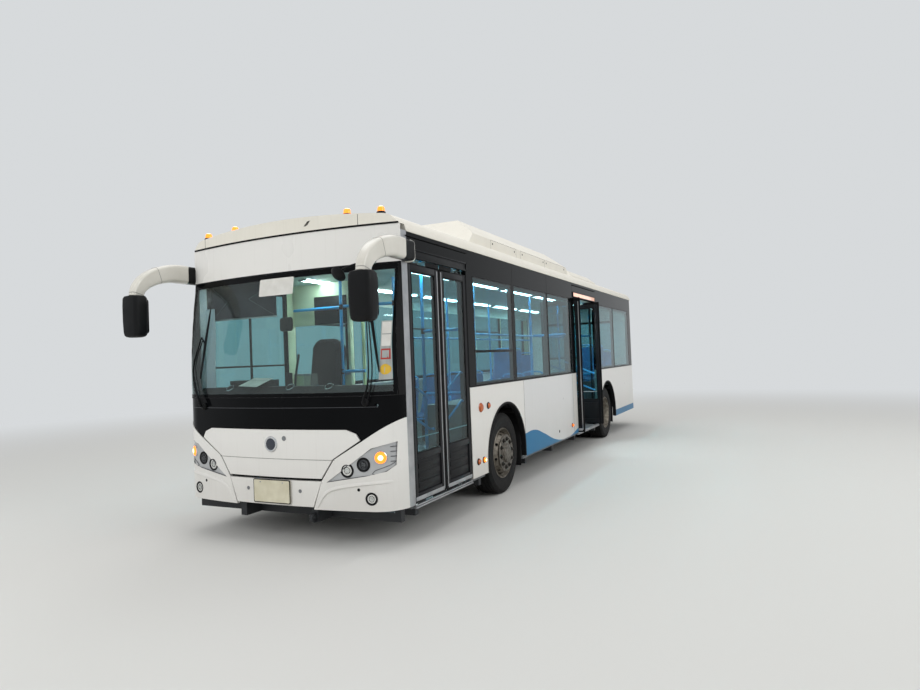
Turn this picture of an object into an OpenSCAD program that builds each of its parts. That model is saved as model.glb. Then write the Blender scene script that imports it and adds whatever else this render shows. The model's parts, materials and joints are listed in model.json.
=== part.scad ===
// Low-floor airport passenger bus with two double doors and a gas pod on the roof. Millimetres.
// X points to the door side, the front faces -Y, Z is up, and the ground is at zero.
// Stations are lengths along the bus, counted back from the front corner pillars.

/* [Body] */
// Width over the side panels
body_w = 2500; // [2450:10:2550]
// Length from the front corner pillars to the rear panel
body_l = 10160; // [10000:20:10400]
// How far the nose stands ahead of the corner pillars
nose_reach = 330; // [310:5:350]
// Plan radius of the nose
nose_r = 5800; // [5400:50:6600]
// Plan radius of the front corners
corner_r = 280; // [250:5:300]
// Lean of the windscreen from upright, in degrees
rake = 9.3; // [9.0:0.1:9.5]
// Height of the roof on the centre line
roof_z = 2995; // [2970:5:3030]
// Height of the gutter, where roof and side walls meet
gutter_z = 2790; // [2770:5:2800]
// Height of the waist, where skirt and window band meet
waist_z = 1320; // [1300:5:1335]
// Height of the skirts' lower edge
skirt_z = 350; // [340:5:370]
// Thickness of the side walls
wall = 50; // [40:1:60]
// Thickness of the nose mouldings
shell_t = 35; // [28:1:40]
// Thickness of the roof
roof_t = 60; // [45:1:80]
// Crown radius of the roof
crown_r = 12000; // [10000:500:15000]
// Radius of the roof's edge
roof_edge_r = 170; // [150:5:190]
// Radius of the rear corners
rear_r = 140; // [100:5:170]

/* [Front] */
// Height of the windscreen's lower edge
screen_z = 1340; // [1335:5:1370]
// Height of the windscreen's upper edge
screen_top_z = 2500; // [2480:5:2515]
// Height of the destination panel's upper edge
dest_top_z = 2845; // [2820:5:2855]
// Thickness of the glass
glass_t = 8; // [5:1:10]
// Height of the front flap's upper edge
flap_top_z = 1050; // [1030:5:1060]
// Height of the front flap's lower edge
flap_low_z = 622; // [615:1:640]
// Width of the blank number plate
plate_w = 416; // [380:2:430]
// Height of the blank number plate
plate_h = 205; // [150:5:210]
// Radius of the round lamps
lamp_r = 52; // [45:1:56]
// Seam between moulded panels
seam = 6; // [5:0.5:8]
// Clearance around the hinged flap and lid
lid_gap = 8; // [8:0.5:10]

/* [Doors] */
// Height of the doorways' upper edge
door_top_z = 2550; // [2540:5:2560]
// Thickness of a door leaf
leaf_t = 40; // [34:1:44]
// Height of a leaf's lower edge
leaf_z = 370; // [368:1:376]
// Height of a leaf's upper edge
leaf_top_z = 2503; // [2495:1:2510]
// Clearance between a leaf and its jamb
jamb_gap = 6; // [6:0.5:9]
// Clearance between the two closed leaves
leaf_gap = 14; // [13:0.5:18]
// Radius of the door posts
post_r = 20; // [16:1:20]
// How far the posts stand inboard of the leaves' middle plane
post_in = 75; // [72:1:80]
// How far an open leaf stands out from the body side
open_out = 100; // [60:5:120]
// Gap between a post's axis and its closed leaf's near edge
post_lead = 22.5; // [20:0.5:26]

/* [Wheels] */
// Outer radius of the tyres
tyre_r = 478; // [468:1:482]
// Width of a tyre
tyre_w = 275; // [265:1:285]
// Radius of the rim's flange
rim_r = 298; // [292:1:302]
// Distance from the centre line to the outer sidewalls
wheel_out = 1194; // [1180:1:1200]
// Spacing between the rear twin tyres' middle planes
twin_pitch = 312; // [305:1:320]
// Station of the front axle
front_axle_s = 2340; // [2320:5:2360]
// Distance between the axles
wheelbase = 5250; // [5200:10:5300]
// Radius of the wheel arches
arch_r = 605; // [600:1:625]
// Distance from the centre line to the steering pivots
kingpin_x = 875; // [870:1:880]
// Running clearance on shafts and pins
run_fit = 0.1; // [0.1:0.05:0.3]

/* [Roof units] */
// Height of the gas pod's top
pod_top_z = 3340; // [3280:5:3380]
// Half width of the gas pod at its foot
pod_half = 1000; // [960:5:1020]
// Station of the gas pod's front foot
pod_s = 1940; // [1900:10:2000]
// Station of the gas pod's rear foot
pod_end_s = 6100; // [6000:10:6200]
// Height of the rear roof unit's top
unit_top_z = 3130; // [3100:5:3170]

/* [Cabin] */
// Height of the low floor
floor_z = 338; // [332:1:338]
// Height of the rear floor
rear_floor_z = 640; // [620:5:680]
// Height of the driver's platform
cab_z = 600; // [560:5:640]
// Height of the ceiling
ceiling_z = 2600; // [2580:5:2620]
// Radius of the handrails
rail_r = 17; // [14:1:19]

/* [Hidden] */
$fn = 48;
FINE = 1440;

half_w = body_w / 2;
mirror_reach = 760;
front_y = mirror_reach - (body_l + mirror_reach) / 2;
rear_axle_s = front_axle_s + wheelbase;
// How far the destination panel stands ahead of the corner pillars
dest_reach = nose_reach - (screen_top_z + 10 - screen_z) * tan(rake);

// A station as a Y coordinate
function sta(s) = front_y + s;
// The rounded outline's corner centre, below the crown of radius r1, for half width w and corner radius r2
function crown_drop(w, r1, r2) = r1 - sqrt(pow(r1 - r2, 2) - pow(w - r2, 2));

// Box between two X values, two stations and two heights
module zone(x0, x1, s0, s1, z0, z1) {
    translate([x0, sta(s0), z0]) cube([x1 - x0, s1 - s0, z1 - z0]);
}

// The same thing on both sides of the bus
module both_sides() {
    for (side = [0, 1]) mirror([side, 0, 0]) children();
}

// Outline with a crowned front and two rounded corners, inset by d, running back to depth
// The crown is a true arc, or as many flat strips as asked for
module crowned(w, r1, r2, d, depth, strips = 0) {
    drop = crown_drop(w, r1, r2);
    reach = r1 + 100;
    half_angle = asin((w - r2) / (r1 - r2));
    if (strips > 0)
        polygon([[0, r1], for (i = [0:strips]) let (a = half_angle * (2 * i / strips - 1))
            [(r1 - d) * sin(a), r1 - (r1 - d) * cos(a)]]);
    else intersection() {
        translate([0, r1]) circle(r = r1 - d, $fn = FINE);
        polygon([[0, r1], [-(w - r2) * reach / (r1 - drop), r1 - reach],
            [(w - r2) * reach / (r1 - drop), r1 - reach]]);
    }
    // Corner sectors share their straight edges with the crown's sector and the body behind
    for (side = [0, 1]) mirror([side, 0]) intersection() {
        translate([w - r2, drop]) circle(r = r2 - d, $fn = 96);
        polygon([[w - r2, drop], [w - r2 + 2 * r2 * sin(half_angle), drop - 2 * r2 * cos(half_angle)],
            [w + r2, drop - 2 * r2], [w + r2, drop]]);
    }
    translate([-(w - d), drop]) square([2 * (w - d), depth - drop]);
}

// Everything behind the nose's plan curve, inset by d
module nose_upright(d) {
    translate([0, sta(-nose_reach), 0])
        linear_extrude(height = roof_z + 200) crowned(half_w, nose_r, corner_r, d, nose_reach + 500);
}

// Everything behind the leaning curve of the windscreen, inset by d, back to depth
module nose_raked(d, depth = 1400) {
    translate([0, sta(-nose_reach), screen_z]) rotate([-rake, 0, 0]) translate([0, 0, -1500])
        linear_extrude(height = 4000) intersection() {
            translate([0, nose_r]) circle(r = nose_r - d, $fn = FINE);
            translate([-half_w - 50, 0]) square([body_w + 100, depth]);
        }
}

// The leaning skin between two insets and two heights, out to x on both sides
module raked_skin(d0, d1, x, z0, z1) {
    intersection() {
        translate([0, sta(-nose_reach), screen_z]) rotate([-rake, 0, 0]) translate([0, 0, -300])
            linear_extrude(height = 2500) intersection() {
                difference() {
                    translate([0, nose_r]) circle(r = nose_r - d0, $fn = FINE);
                    translate([0, nose_r]) circle(r = nose_r - d1, $fn = FINE);
                }
                translate([-half_w - 50, 0]) square([body_w + 100, 400]);
            }
        zone(-x, x, -nose_reach - 50, 200, z0, z1);
    }
}

// Places its child on the leaning skin, at x and up along it, with -Y pointing out
module on_screen(x, up) {
    translate([0, sta(-nose_reach), screen_z]) rotate([-rake, 0, 0]) translate([0, nose_r, up])
        rotate([0, 0, asin(x / nose_r)]) translate([0, -nose_r, 0]) children();
}

// The upright nose skin between two insets and two heights
module nose_ring(d0, d1, z0, z1) {
    translate([0, sta(-nose_reach), z0]) linear_extrude(height = z1 - z0) intersection() {
        difference() {
            crowned(half_w, nose_r, corner_r, d0, nose_reach + 100);
            crowned(half_w, nose_r, corner_r, d1, nose_reach + 200);
        }
        translate([-half_w, 0]) square([body_w, nose_reach]);
    }
}

// A front outline in X and Z, carried back through the nose
module front_cut(points) {
    translate([0, sta(400), 0]) rotate([90, 0, 0]) linear_extrude(height = 900) polygon(points);
}

// Lower front lines in X and Z: the slanted edge of the bumper's corner mouldings
edge_low = [450, skirt_z];
edge_mid = [540, 605];
edge_turn = [665, 790];
edge_notch = [935, 948];
edge_high = [half_w, 1140];
// The flap's rounded upper corner: end of its straight top edge, and the corner's side point
flap_corner = 790;
flap_side = [885, 1015];

// Roof: the crowned cross section between two stations, inset by d
module roof_section(d, s0, s1) {
    translate([0, sta(s0), roof_z]) rotate([-90, 0, 0]) linear_extrude(height = s1 - s0) intersection() {
        crowned(half_w, crown_r, roof_edge_r, d, roof_z, 24);
        translate([-half_w, 0]) square([body_w, roof_z - gutter_z]);
    }
}

// Everything behind the upright curve above the windscreen, inset by d
module dest_upright(d, depth) {
    translate([0, sta(-dest_reach), gutter_z - 500]) linear_extrude(height = 1000) intersection() {
        translate([0, nose_r]) circle(r = nose_r - d, $fn = FINE);
        translate([-half_w - 50, 0]) square([body_w + 100, depth]);
    }
}

// The roof's plan, with its curved front edge inset by d
module roof_plan(d, back_s) {
    strips = 24;
    x1 = half_w + 20;
    translate([0, sta(-dest_reach), gutter_z - 50]) linear_extrude(height = roof_z - gutter_z + 100)
        polygon([for (i = [0:strips]) let (x = x1 * (2 * i / strips - 1))
            [x, nose_r - sqrt(pow(nose_r - d, 2) - x * x)], [x1, back_s + dest_reach],
            [-x1, back_s + dest_reach]]);
}

module roof_shell() {
    color("whitesmoke") difference() {
        intersection() {
            roof_section(0, -dest_reach - 10, body_l - 25);
            roof_plan(-6, body_l);
        }
        intersection() {
            roof_section(roof_t, -dest_reach - 10, body_l - 25 - roof_t);
            roof_plan(shell_t, body_l);
        }
        zone(-half_w - 1, half_w + 1, -nose_reach, front_door[0], gutter_z - 20, dest_top_z + 8);
    }
}

// Roof units: foot half width, top half width, foot station, top station, top end, foot end, foot z, top z
pod_table = [
    [pod_half, 700, pod_s, pod_s + 390, pod_end_s - 380, pod_end_s, pod_top_z],
    [pod_half - 20, 860, pod_end_s + 120, pod_end_s + 330, 7900, 8150, unit_top_z]];

module roof_unit(row) {
    foot_z = roof_z - 50;
    rise = row[6] - foot_z;
    // Side slopes come from the cross section, end slopes from the side view
    intersection() {
        translate([0, sta(row[2]), foot_z]) rotate([-90, 0, 0]) linear_extrude(height = row[5] - row[2])
            polygon([[-row[0], 0], [row[0], 0], [row[0], -rise * 0.42], [row[1], -rise], [-row[1], -rise],
                [-row[0], -rise * 0.42]]);
        translate([-row[0], 0, 0]) rotate([90, 0, 90]) linear_extrude(height = 2 * row[0])
            polygon([[sta(row[2]), foot_z], [sta(row[3]), row[6]], [sta(row[4]), row[6]],
                [sta(row[5]), foot_z]]);
    }
}

module roof_pod() {
    color("whitesmoke") difference() {
        roof_unit(pod_table[0]);
        roof_section(0, 0, body_l);
    }
}

module rear_roof_unit() {
    color("whitesmoke") difference() {
        roof_unit(pod_table[1]);
        roof_section(0, 0, body_l);
    }
}

// Doorways: first jamb, last jamb
front_door = [98, 1324];
mid_door = [rear_axle_s - 2160, rear_axle_s - 790];

// Side windows: first station, last station, sill height
rear_windows = [[rear_axle_s - 630, rear_axle_s + 650, 1350], [rear_axle_s + 710, body_l - 460, 1350]];
near_windows = concat([[1500, 2620, 1350], [2740, 4020, 1350], [4080, mid_door[0] - 200, 1350]], rear_windows);
off_windows = concat([[190, 1340, 1300], [1500, 2620, 1350], [2740, 4020, 1350], [4080, 5360, 1350],
    [5420, rear_axle_s - 770, 1350]], rear_windows);
window_top_z = 2500;
glass_lap = 15;
pane_t = 6;

module window_hole(row) {
    zone(half_w - wall - 1, half_w + 1, row[0], row[1], row[2], window_top_z);
    zone(half_w - pane_t, half_w + 1, row[0] - glass_lap, row[1] + glass_lap, row[2] - glass_lap,
        window_top_z + glass_lap);
}

module side_wall(s0, z0, z1) {
    zone(half_w - wall, half_w, s0, body_l - rear_r, z0, z1);
}

module doorway(jambs) {
    zone(half_w - wall - 1, half_w + 1, jambs[0], jambs[1], skirt_z - 100, door_top_z);
}

module window_band_near() {
    color("#15171b") difference() {
        side_wall(front_door[0], waist_z, gutter_z);
        for (row = near_windows) window_hole(row);
        doorway(front_door);
        doorway(mid_door);
    }
}

module window_band_off() {
    color("#15171b") mirror([1, 0, 0]) difference() {
        side_wall(front_door[0], waist_z, gutter_z);
        for (row = off_windows) window_hole(row);
    }
}

module arch_hole(s, r) {
    translate([half_w - wall - 1, sta(s), tyre_r]) rotate([0, 90, 0]) cylinder(r = r, h = wall + 2, $fn = 128);
    zone(half_w - wall - 1, half_w + 1, s - r, s + r, tyre_r - 300, tyre_r);
}

// The arches open downwards at their full width
module skirt_near() {
    color("white") difference() {
        side_wall(front_door[1], skirt_z, waist_z);
        doorway(mid_door);
        for (s = [front_axle_s, rear_axle_s]) arch_hole(s, arch_r);
    }
}

module skirt_off() {
    color("white") mirror([1, 0, 0]) difference() {
        side_wall(front_door[0], skirt_z, waist_z);
        for (row = off_windows) window_hole(row);
        for (s = [front_axle_s, rear_axle_s]) arch_hole(s, arch_r);
    }
}

module corner_posts() {
    color("silver") both_sides() zone(half_w - wall, half_w, 0, front_door[0], skirt_z, gutter_z);
}

module bumper_corner() {
    intersection() {
        nose_ring(0, shell_t, skirt_z, screen_z);
        front_cut([edge_low, edge_mid, edge_turn, edge_notch, edge_high, [half_w + 10, edge_high[1]],
            [half_w + 10, skirt_z]]);
    }
}

// Recess that takes a headlamp cluster, in X and Z
recess = [[585, 590], [1020, 890], [half_w - 40, 940], [half_w - 50, 740], [half_w - 110, 690], [960, 650]];

recess_d = 14;

// The line of a round front lamp
module lamp_bore(row, r) {
    translate([row[0], sta(100), row[1]]) rotate([90, 0, 0]) cylinder(r = r, h = 600, $fn = 64);
}

module front_bumper() {
    color("white") {
        both_sides() difference() {
            bumper_corner();
            difference() {
                front_cut(recess);
                nose_upright(recess_d);
            }
            for (row = lamp_table) lamp_bore(row, row[2] + 0.5);
        }
        intersection() {
            nose_ring(0, shell_t, skirt_z, screen_z);
            front_cut([[-edge_low[0] + seam, skirt_z + 20], [-edge_mid[0] + seam, 598],
                [edge_mid[0] - seam, 598], [edge_low[0] - seam, skirt_z + 20]]);
        }
    }
}

module front_band() {
    g = seam;
    color("#101114") hinge_pins(front_hinge, 1);
    color("#101114") difference() {
        intersection() {
            nose_ring(4, shell_t, skirt_z, screen_z);
            front_cut([[-half_w, edge_high[1] + g], [-edge_notch[0] - 4, edge_notch[1] + g],
                [-flap_side[0] - g, flap_side[1] + g], [-flap_corner - g, flap_top_z + lid_gap],
                [flap_corner + g, flap_top_z + lid_gap], [flap_side[0] + g, flap_side[1] + g],
                [edge_notch[0] + 4, edge_notch[1] + g], [half_w, edge_high[1] + g], [half_w, screen_z],
                [-half_w, screen_z]]);
        }
        for (row = wiper_table) wiper_spindle(row, seat_gap);
    }
}

// Half width of the windscreen, out to the black corner pillars
screen_half = 1140;
frame_w = 60;

// The black frame that the windscreen is bonded to, with its corner pillars
module screen_frame() {
    color("#17181b") {
        difference() {
            raked_skin(glass_t, shell_t + 15, screen_half, screen_z, screen_top_z + 10);
            zone(-screen_half + frame_w, screen_half - frame_w, -nose_reach, 300, screen_z + frame_w,
                screen_top_z - frame_w);
        }
        both_sides() intersection() {
            translate([0, sta(-nose_reach), screen_z]) linear_extrude(height = screen_top_z + 10 - screen_z)
                intersection() {
                    difference() {
                        crowned(half_w, nose_r, corner_r, 0, nose_reach + 100);
                        crowned(half_w, nose_r, corner_r, shell_t, nose_reach + 100);
                    }
                    translate([screen_half, 0]) square([half_w - screen_half, nose_reach]);
                }
            nose_raked(0);
        }
    }
}

module windscreen() {
    color("paleturquoise", 0.5) raked_skin(0, glass_t, screen_half, screen_z, screen_top_z);
}

module destination_panel() {
    color("white") intersection() {
        difference() {
            dest_upright(0, 300);
            dest_upright(shell_t, 400);
        }
        zone(-half_w, half_w, -nose_reach, 0, screen_top_z + 10, dest_top_z);
    }
}

module front_plate() {
    color("gainsboro") zone(-plate_w / 2, plate_w / 2, -nose_reach - 12, -nose_reach, 390, 390 + plate_h);
}

// Round front lamps: x, z, lit part's radius
lamp_table = [[1093, 810, lamp_r], [941, 750, lamp_r], [786, 698, lamp_r], [1010, 459, lamp_r - 6]];

module front_lamps() {
    color("silver") both_sides() for (row = lamp_table) intersection() {
        lamp_bore(row, row[2]);
        nose_ring(2, shell_t, skirt_z, screen_z);
    }
}

// Amber lamps stand square on the crowned roof
module marker_lamps() {
    color("orange") for (x = [-1052, -685, 685, 1052])
        translate([0, sta(60), roof_z - crown_r]) rotate([0, asin(x / crown_r), 0]) translate([0, 0, crown_r])
            cylinder(r = 26, h = 30);
}

// Side lamps: station, height, radius
side_lamp_table = [[1578, 1090, 34], [1786, 1090, 30], [1468, 511, 26], [1615, 509, 26], [5090, 505, 24]];

module side_lamps() {
    color("orange") both_sides() for (row = side_lamp_table)
        translate([half_w, sta(row[0]), row[1]]) rotate([0, 90, 0]) cylinder(r = row[2], h = 14);
}

// A bend from a to c, pulled towards b, as n + 1 points
function bend(a, b, c, n) = [for (i = [0:n]) let (u = i / n)
    (1 - u) * (1 - u) * a + 2 * u * (1 - u) * b + u * u * c];
// Rounded rectangle about the origin
module soft_square(w, h, r) {
    translate([-w / 2, r - h / 2]) square([w, h - 2 * r]);
    translate([r - w / 2, -h / 2]) square([w - 2 * r, h]);
    for (x = [-1, 1], y = [-1, 1]) translate([x * (w / 2 - r), y * (h / 2 - r)]) intersection() {
        circle(r = r);
        translate([min(0, 2 * r * x), min(0, 2 * r * y)]) square(2 * r);
    }
}

// Mirror arms: a horn in station and height, from the corner pillar to the head's top
arm_outline = concat([[60, 2500], [60, 2690]],
    bend([-100, 2690], [-640, 2710], [-mirror_reach + 20, 2340], 12),
    bend([-600, 2340], [-570, 2500], [-100, 2510], 12));
mirror_x = half_w + 50;
arm_half = 45;
head_low_z = 1960;

module mirror_arms() {
    color("white") both_sides() {
        translate([mirror_x - arm_half, front_y, 0]) rotate([90, 0, 90]) linear_extrude(height = 2 * arm_half)
            polygon(arm_outline);
        zone(half_w, mirror_x - arm_half, 10, 60, 2510, 2680);
    }
}

module mirror_heads() {
    color("#1c1d20") both_sides() translate([mirror_x, sta(150 - mirror_reach), (2340 + head_low_z) / 2])
        rotate([90, 0, 0]) linear_extrude(height = 150) soft_square(220, 2340 - head_low_z, 48);
}

// Wipers: x of the spindle, stations of its front and rear ends
wiper_table = [[-890, -312, -215], [1080, -270, -175]];
wiper_z = 1258;

module wiper_spindle(row, gap) {
    translate([row[0], sta(row[2]), wiper_z]) rotate([90, 0, 0]) cylinder(r = 14 + gap, h = row[2] - row[1]);
}

module wipers() {
    color("black") for (row = wiper_table) {
        wiper_spindle(row, 0);
        on_screen(row[0], wiper_z - screen_z) {
            translate([-9, -38, -20]) cube([18, 12, 580]);
            translate([-6, -38, 430]) cube([12, 30, 12]);
            translate([-6, -20, 100]) cube([12, 14, 700]);
        }
    }
}

module pane(row) {
    zone(half_w - pane_t, half_w, row[0] - glass_lap, row[1] + glass_lap, row[2] - glass_lap,
        window_top_z + glass_lap);
}

module side_glass() {
    color("paleturquoise", 0.5) {
        for (row = near_windows) pane(row);
        mirror([1, 0, 0]) for (row = off_windows) pane(row);
    }
}

// Rear wall: openings as half width, low height, high height
rear_opening = [850, 1500, 2350];
lid_opening = [800, 480, 1330];

module rear_envelope(d) {
    translate([0, sta(body_l), 0]) mirror([0, 1, 0]) {
        translate([-(half_w - rear_r), 0, 0]) translate([0, d, 0]) cube([2 * (half_w - rear_r), rear_r - d, 3000]);
        translate([-(half_w - d), rear_r, 0]) cube([2 * (half_w - d), 400, 3000]);
        for (side = [-1, 1]) translate([side * (half_w - rear_r), rear_r, 0])
            cylinder(r = rear_r - d, h = 3000, $fn = 96);
    }
}

module rear_hole(row, g) {
    zone(-row[0] - g, row[0] + g, body_l - rear_r - 200, body_l + 10, row[1] - g, row[2] + g);
}

module rear_panel() {
    color("white") hinge_pins(rear_hinge, -1);
    color("white") difference() {
        intersection() {
            rear_envelope(0);
            zone(-half_w, half_w, body_l - rear_r, body_l, skirt_z, gutter_z);
        }
        rear_envelope(wall);
        rear_hole(rear_opening, 0);
        rear_hole(lid_opening, lid_gap);
        zone(-rear_opening[0] - glass_lap, rear_opening[0] + glass_lap, body_l - pane_t, body_l + 10,
            rear_opening[1] - glass_lap, rear_opening[2] + glass_lap);
        rear_lamp_row(seat_gap, 10);
    }
}

module rear_window() {
    color("paleturquoise", 0.5)
        zone(-rear_opening[0] - glass_lap, rear_opening[0] + glass_lap, body_l - pane_t, body_l,
            rear_opening[1] - glass_lap, rear_opening[2] + glass_lap);
}

// Rear lamps: height, radius
rear_lamp_table = [[720, 45], [850, 45], [980, 45], [1110, 45]];

rear_lamp_t = 18;

// The column of round lamps, grown by a gap and standing out by some length
module rear_lamp_row(gap, out) {
    both_sides() for (row = rear_lamp_table) translate([half_w - 220, sta(body_l) + out, row[0]])
        rotate([90, 0, 0]) cylinder(r = row[1] + gap, h = rear_lamp_t + out);
}

module rear_lamps() {
    color("firebrick") rear_lamp_row(0, 0);
}

// Hinged lids: the hinge line lies this far in and down from the lid's top outer edge
hinge_in = 24;
hinge_r = 8;
front_hinge = [sta(-nose_reach) + hinge_in, flap_top_z - hinge_in];
rear_hinge = [sta(body_l) - hinge_in, lid_opening[2] - hinge_in];
lid_t = 26;
flap_t = 14;
// How far back from the hinge line the hinge pockets start, so the flap's skin runs over them
pocket_d = 9.5;

module front_flap() {
    color("white") {
        difference() {
            intersection() {
                nose_ring(0, flap_t, skirt_z, screen_z);
                front_cut([[-edge_mid[0] + seam, flap_low_z], [-edge_turn[0] + 12, edge_turn[1] + 4],
                    [-edge_notch[0] + 2 * lid_gap, edge_notch[1] + 10], [-flap_side[0], flap_side[1]],
                    [-flap_corner, flap_top_z], [flap_corner, flap_top_z], flap_side,
                    [edge_notch[0] - 2 * lid_gap, edge_notch[1] + 10],
                    [edge_turn[0] - 12, edge_turn[1] + 4], [edge_mid[0] - seam, flap_low_z]]);
            }
            // Chamfer along the hinged edge
            translate([-1000, front_hinge[0] - hinge_in, flap_top_z]) rotate([45, 0, 0])
                translate([0, -9, -9]) cube([2000, 18, 18]);
            for (x = [-300, 300]) translate([x - 42, front_hinge[0] - pocket_d, front_hinge[1] - 12])
                cube([84, 60, 60]);
        }
        for (x = [-300, 300]) hinge_barrel(x, front_hinge);
    }
}

// One leaf of a hinge: a barrel and the strap to its lid
module hinge_barrel(x, at) {
    for (dx = [-41, 21]) translate([x + dx, at[0], at[1]]) difference() {
        union() {
            rotate([0, 90, 0]) cylinder(r = 11, h = 20);
            translate([0, -8, -30]) cube([20, 16, 30]);
        }
        translate([-1, 0, 0]) rotate([0, 90, 0]) cylinder(r = hinge_r + run_fit, h = 22);
    }
}

module engine_lid() {
    color("white") {
        difference() {
            zone(-lid_opening[0], lid_opening[0], body_l - lid_t, body_l, lid_opening[1], lid_opening[2]);
            translate([-1000, rear_hinge[0] + hinge_in, lid_opening[2]]) rotate([45, 0, 0])
                translate([0, -9, -9]) cube([2000, 18, 18]);
            for (x = [-300, 300]) translate([x - 42, rear_hinge[0] - 48, rear_hinge[1] - 12])
                cube([84, 60, 60]);
            // Louvres
            for (z = [600:60:1080]) zone(-600, 600, body_l - lid_t - 1, body_l + 1, z, z + 26);
        }
        for (x = [-300, 300]) hinge_barrel(x, rear_hinge);
    }
}

// Hinge pins and the brackets that reach round the lid's lip; dir points from the hinge into the body
module hinge_pins(at, dir) {
    for (x = [-300, 300]) translate([x, at[0], at[1]]) {
        translate([-42, 0, 0]) rotate([0, 90, 0]) cylinder(r = hinge_r, h = 84);
        mirror([0, dir > 0 ? 0 : 1, 0]) {
            translate([-20, 0, -6]) cube([40, 43, 12]);
            translate([-20, 35, -6]) cube([40, 8, 66]);
            translate([-20, 10, 42]) cube([40, 33, 18]);
        }
    }
}

// Cabin floor with its wheel boxes
box_t = 12;
front_box_x = 480;
rear_box_x = 575;
floor_t = 30;
step_s = rear_axle_s - 690;
engine_s = body_l - 1260;
deck_z = 1060;
cabin_half = half_w - wall;

module wheel_box(s, x0, z0, z1) {
    difference() {
        zone(x0, cabin_half, s - arch_r - box_t, s + arch_r + box_t, z0, z1);
        zone(x0 + box_t, half_w, s - arch_r, s + arch_r, z0 - 1, z1 - box_t);
    }
}

// The room that the four wheel boxes take out of the floors
module box_room() {
    both_sides() {
        zone(front_box_x, half_w, front_axle_s - arch_r - box_t, front_axle_s + arch_r + box_t, 0, box_top);
        zone(rear_box_x, half_w, rear_axle_s - arch_r - box_t, rear_axle_s + arch_r + box_t, 0, box_top);
    }
}

box_top = tyre_r + arch_r + 20;

module floor() {
    color("dimgray") difference() {
        zone(-cabin_half, cabin_half, front_door[0] + 2, step_s - 20, floor_z - floor_t, floor_z);
        box_room();
    }
}

// Raised floor over the rear axle, with its riser
module rear_floor() {
    color("dimgray") difference() {
        union() {
            zone(-cabin_half, cabin_half, step_s - 20, engine_s - 20, rear_floor_z - floor_t, rear_floor_z);
            zone(-cabin_half, cabin_half, step_s - 20, step_s, floor_z - floor_t, rear_floor_z);
        }
        box_room();
    }
}

module engine_deck() {
    color("dimgray") {
        zone(-cabin_half, cabin_half, engine_s - 20, engine_s, rear_floor_z - floor_t, deck_z);
        zone(-cabin_half, cabin_half, engine_s - 20, body_l - rear_r, deck_z - floor_t, deck_z);
    }
}

module wheel_boxes() {
    color("dimgray") both_sides() {
        wheel_box(front_axle_s, front_box_x, floor_z - floor_t, box_top);
        wheel_box(rear_axle_s, rear_box_x, rear_floor_z - floor_t, box_top);
    }
}

// Driver's platform: first station, last station
cab_row = [260, 1440];

module driver_platform() {
    color("dimgray") zone(-cabin_half, -300, cab_row[0], cab_row[1], floor_z, cab_z);
}

// Underframe: rails and the legs that carry the front and rear beams
rail_x = 420;
rail_half = 35;
rail_h = 80;
low_rail_z = floor_z - floor_t - rail_h;
high_rail_z = rear_floor_z - floor_t - rail_h;
rail_front_s = -100;
rail_end_s = body_l - 150;
front_leg = [-260, -60];
beam_t = 60;
// Jack points: stations of their pads' middles
jack_table = [1200, 6300];

// A bar of the underframe at one rail
module rail_bar(s0, s1, z0, z1) {
    zone(rail_x - rail_half, rail_x + rail_half, s0, s1, z0, z1);
}

module chassis() {
    color("#2b2d30") {
        both_sides() {
            rail_bar(rail_front_s, step_s + beam_t, low_rail_z, low_rail_z + rail_h);
            rail_bar(step_s, rail_end_s, high_rail_z, high_rail_z + rail_h);
            rail_bar(step_s, step_s + beam_t, low_rail_z, high_rail_z + rail_h);
            rail_bar(front_leg[0], front_leg[1], low_rail_z, 560);
            rail_bar(body_l - 210, body_l - wall - beam_t, 380, high_rail_z + rail_h);
            for (s = jack_table) rail_bar(s - 50, s + 50, low_rail_z - 10, low_rail_z + rail_h);
        }
        // Towing lugs on the door side: in front below the bumper, at the rear below the beam
        tow_lug(-285, low_rail_z + lug_r, -285, -90, low_rail_z, low_rail_z + 2 * lug_r);
        tow_lug(body_l - 160, 300, body_l - 160 - lug_r, body_l - 160 + lug_r, 300, 390);
    }
}

// Cross members: station, height of the lower face
cross_table = concat([for (s = [200, 1600, 3080, 4200, 5400, step_s - 200]) [s, low_rail_z]],
    [for (s = [step_s + 10, rear_axle_s + 710, body_l - 280]) [s, high_rail_z]]);

module cross_members() {
    x = cabin_half - 20;
    color("#2b2d30") difference() {
        union() {
            for (row = cross_table) zone(-x, x, row[0], row[0] + beam_t, row[1], row[1] + rail_h);
            // Front beam behind the bumper, on posts from the first cross member
            nose_ring(shell_t, shell_t + beam_t, 470, 560);
            both_sides() zone(x - 50, x + 10, -beam_t, 0, low_rail_z, 480);
            zone(-x - 10, x + 10, -beam_t, 0, low_rail_z, low_rail_z + rail_h);
            // Rear beam
            zone(-half_w + rear_r, half_w - rear_r, body_l - wall - beam_t, body_l - wall, 380, 460);
        }
        both_sides() {
            rail_bar(front_leg[0], front_leg[1], low_rail_z, 560);
            rail_bar(front_leg[1], rail_end_s, low_rail_z, low_rail_z + rail_h);
            rail_bar(step_s, rail_end_s, high_rail_z, high_rail_z + rail_h);
        }
    }
}

// Towing lug: a plate with a cross bore at a station and height, carried by a web between stations and heights
lug_r = 40;
lug_t = 30;
lug_bore_r = 20;

module tow_lug(s, z, s0, s1, z0, z1) {
    difference() {
        union() {
            translate([rail_x - lug_t / 2, sta(s), z]) rotate([0, 90, 0]) cylinder(r = lug_r, h = lug_t);
            zone(rail_x - lug_t / 2, rail_x + lug_t / 2, s0, s1, z0, z1);
        }
        translate([rail_x - lug_t, sta(s), z]) rotate([0, 90, 0]) cylinder(r = lug_bore_r, h = 2 * lug_t);
    }
}

module engine() {
    color("#3c3f42") zone(-450, 450, engine_s + 100, body_l - 180, high_rail_z + rail_h, 1000);
}

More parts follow.
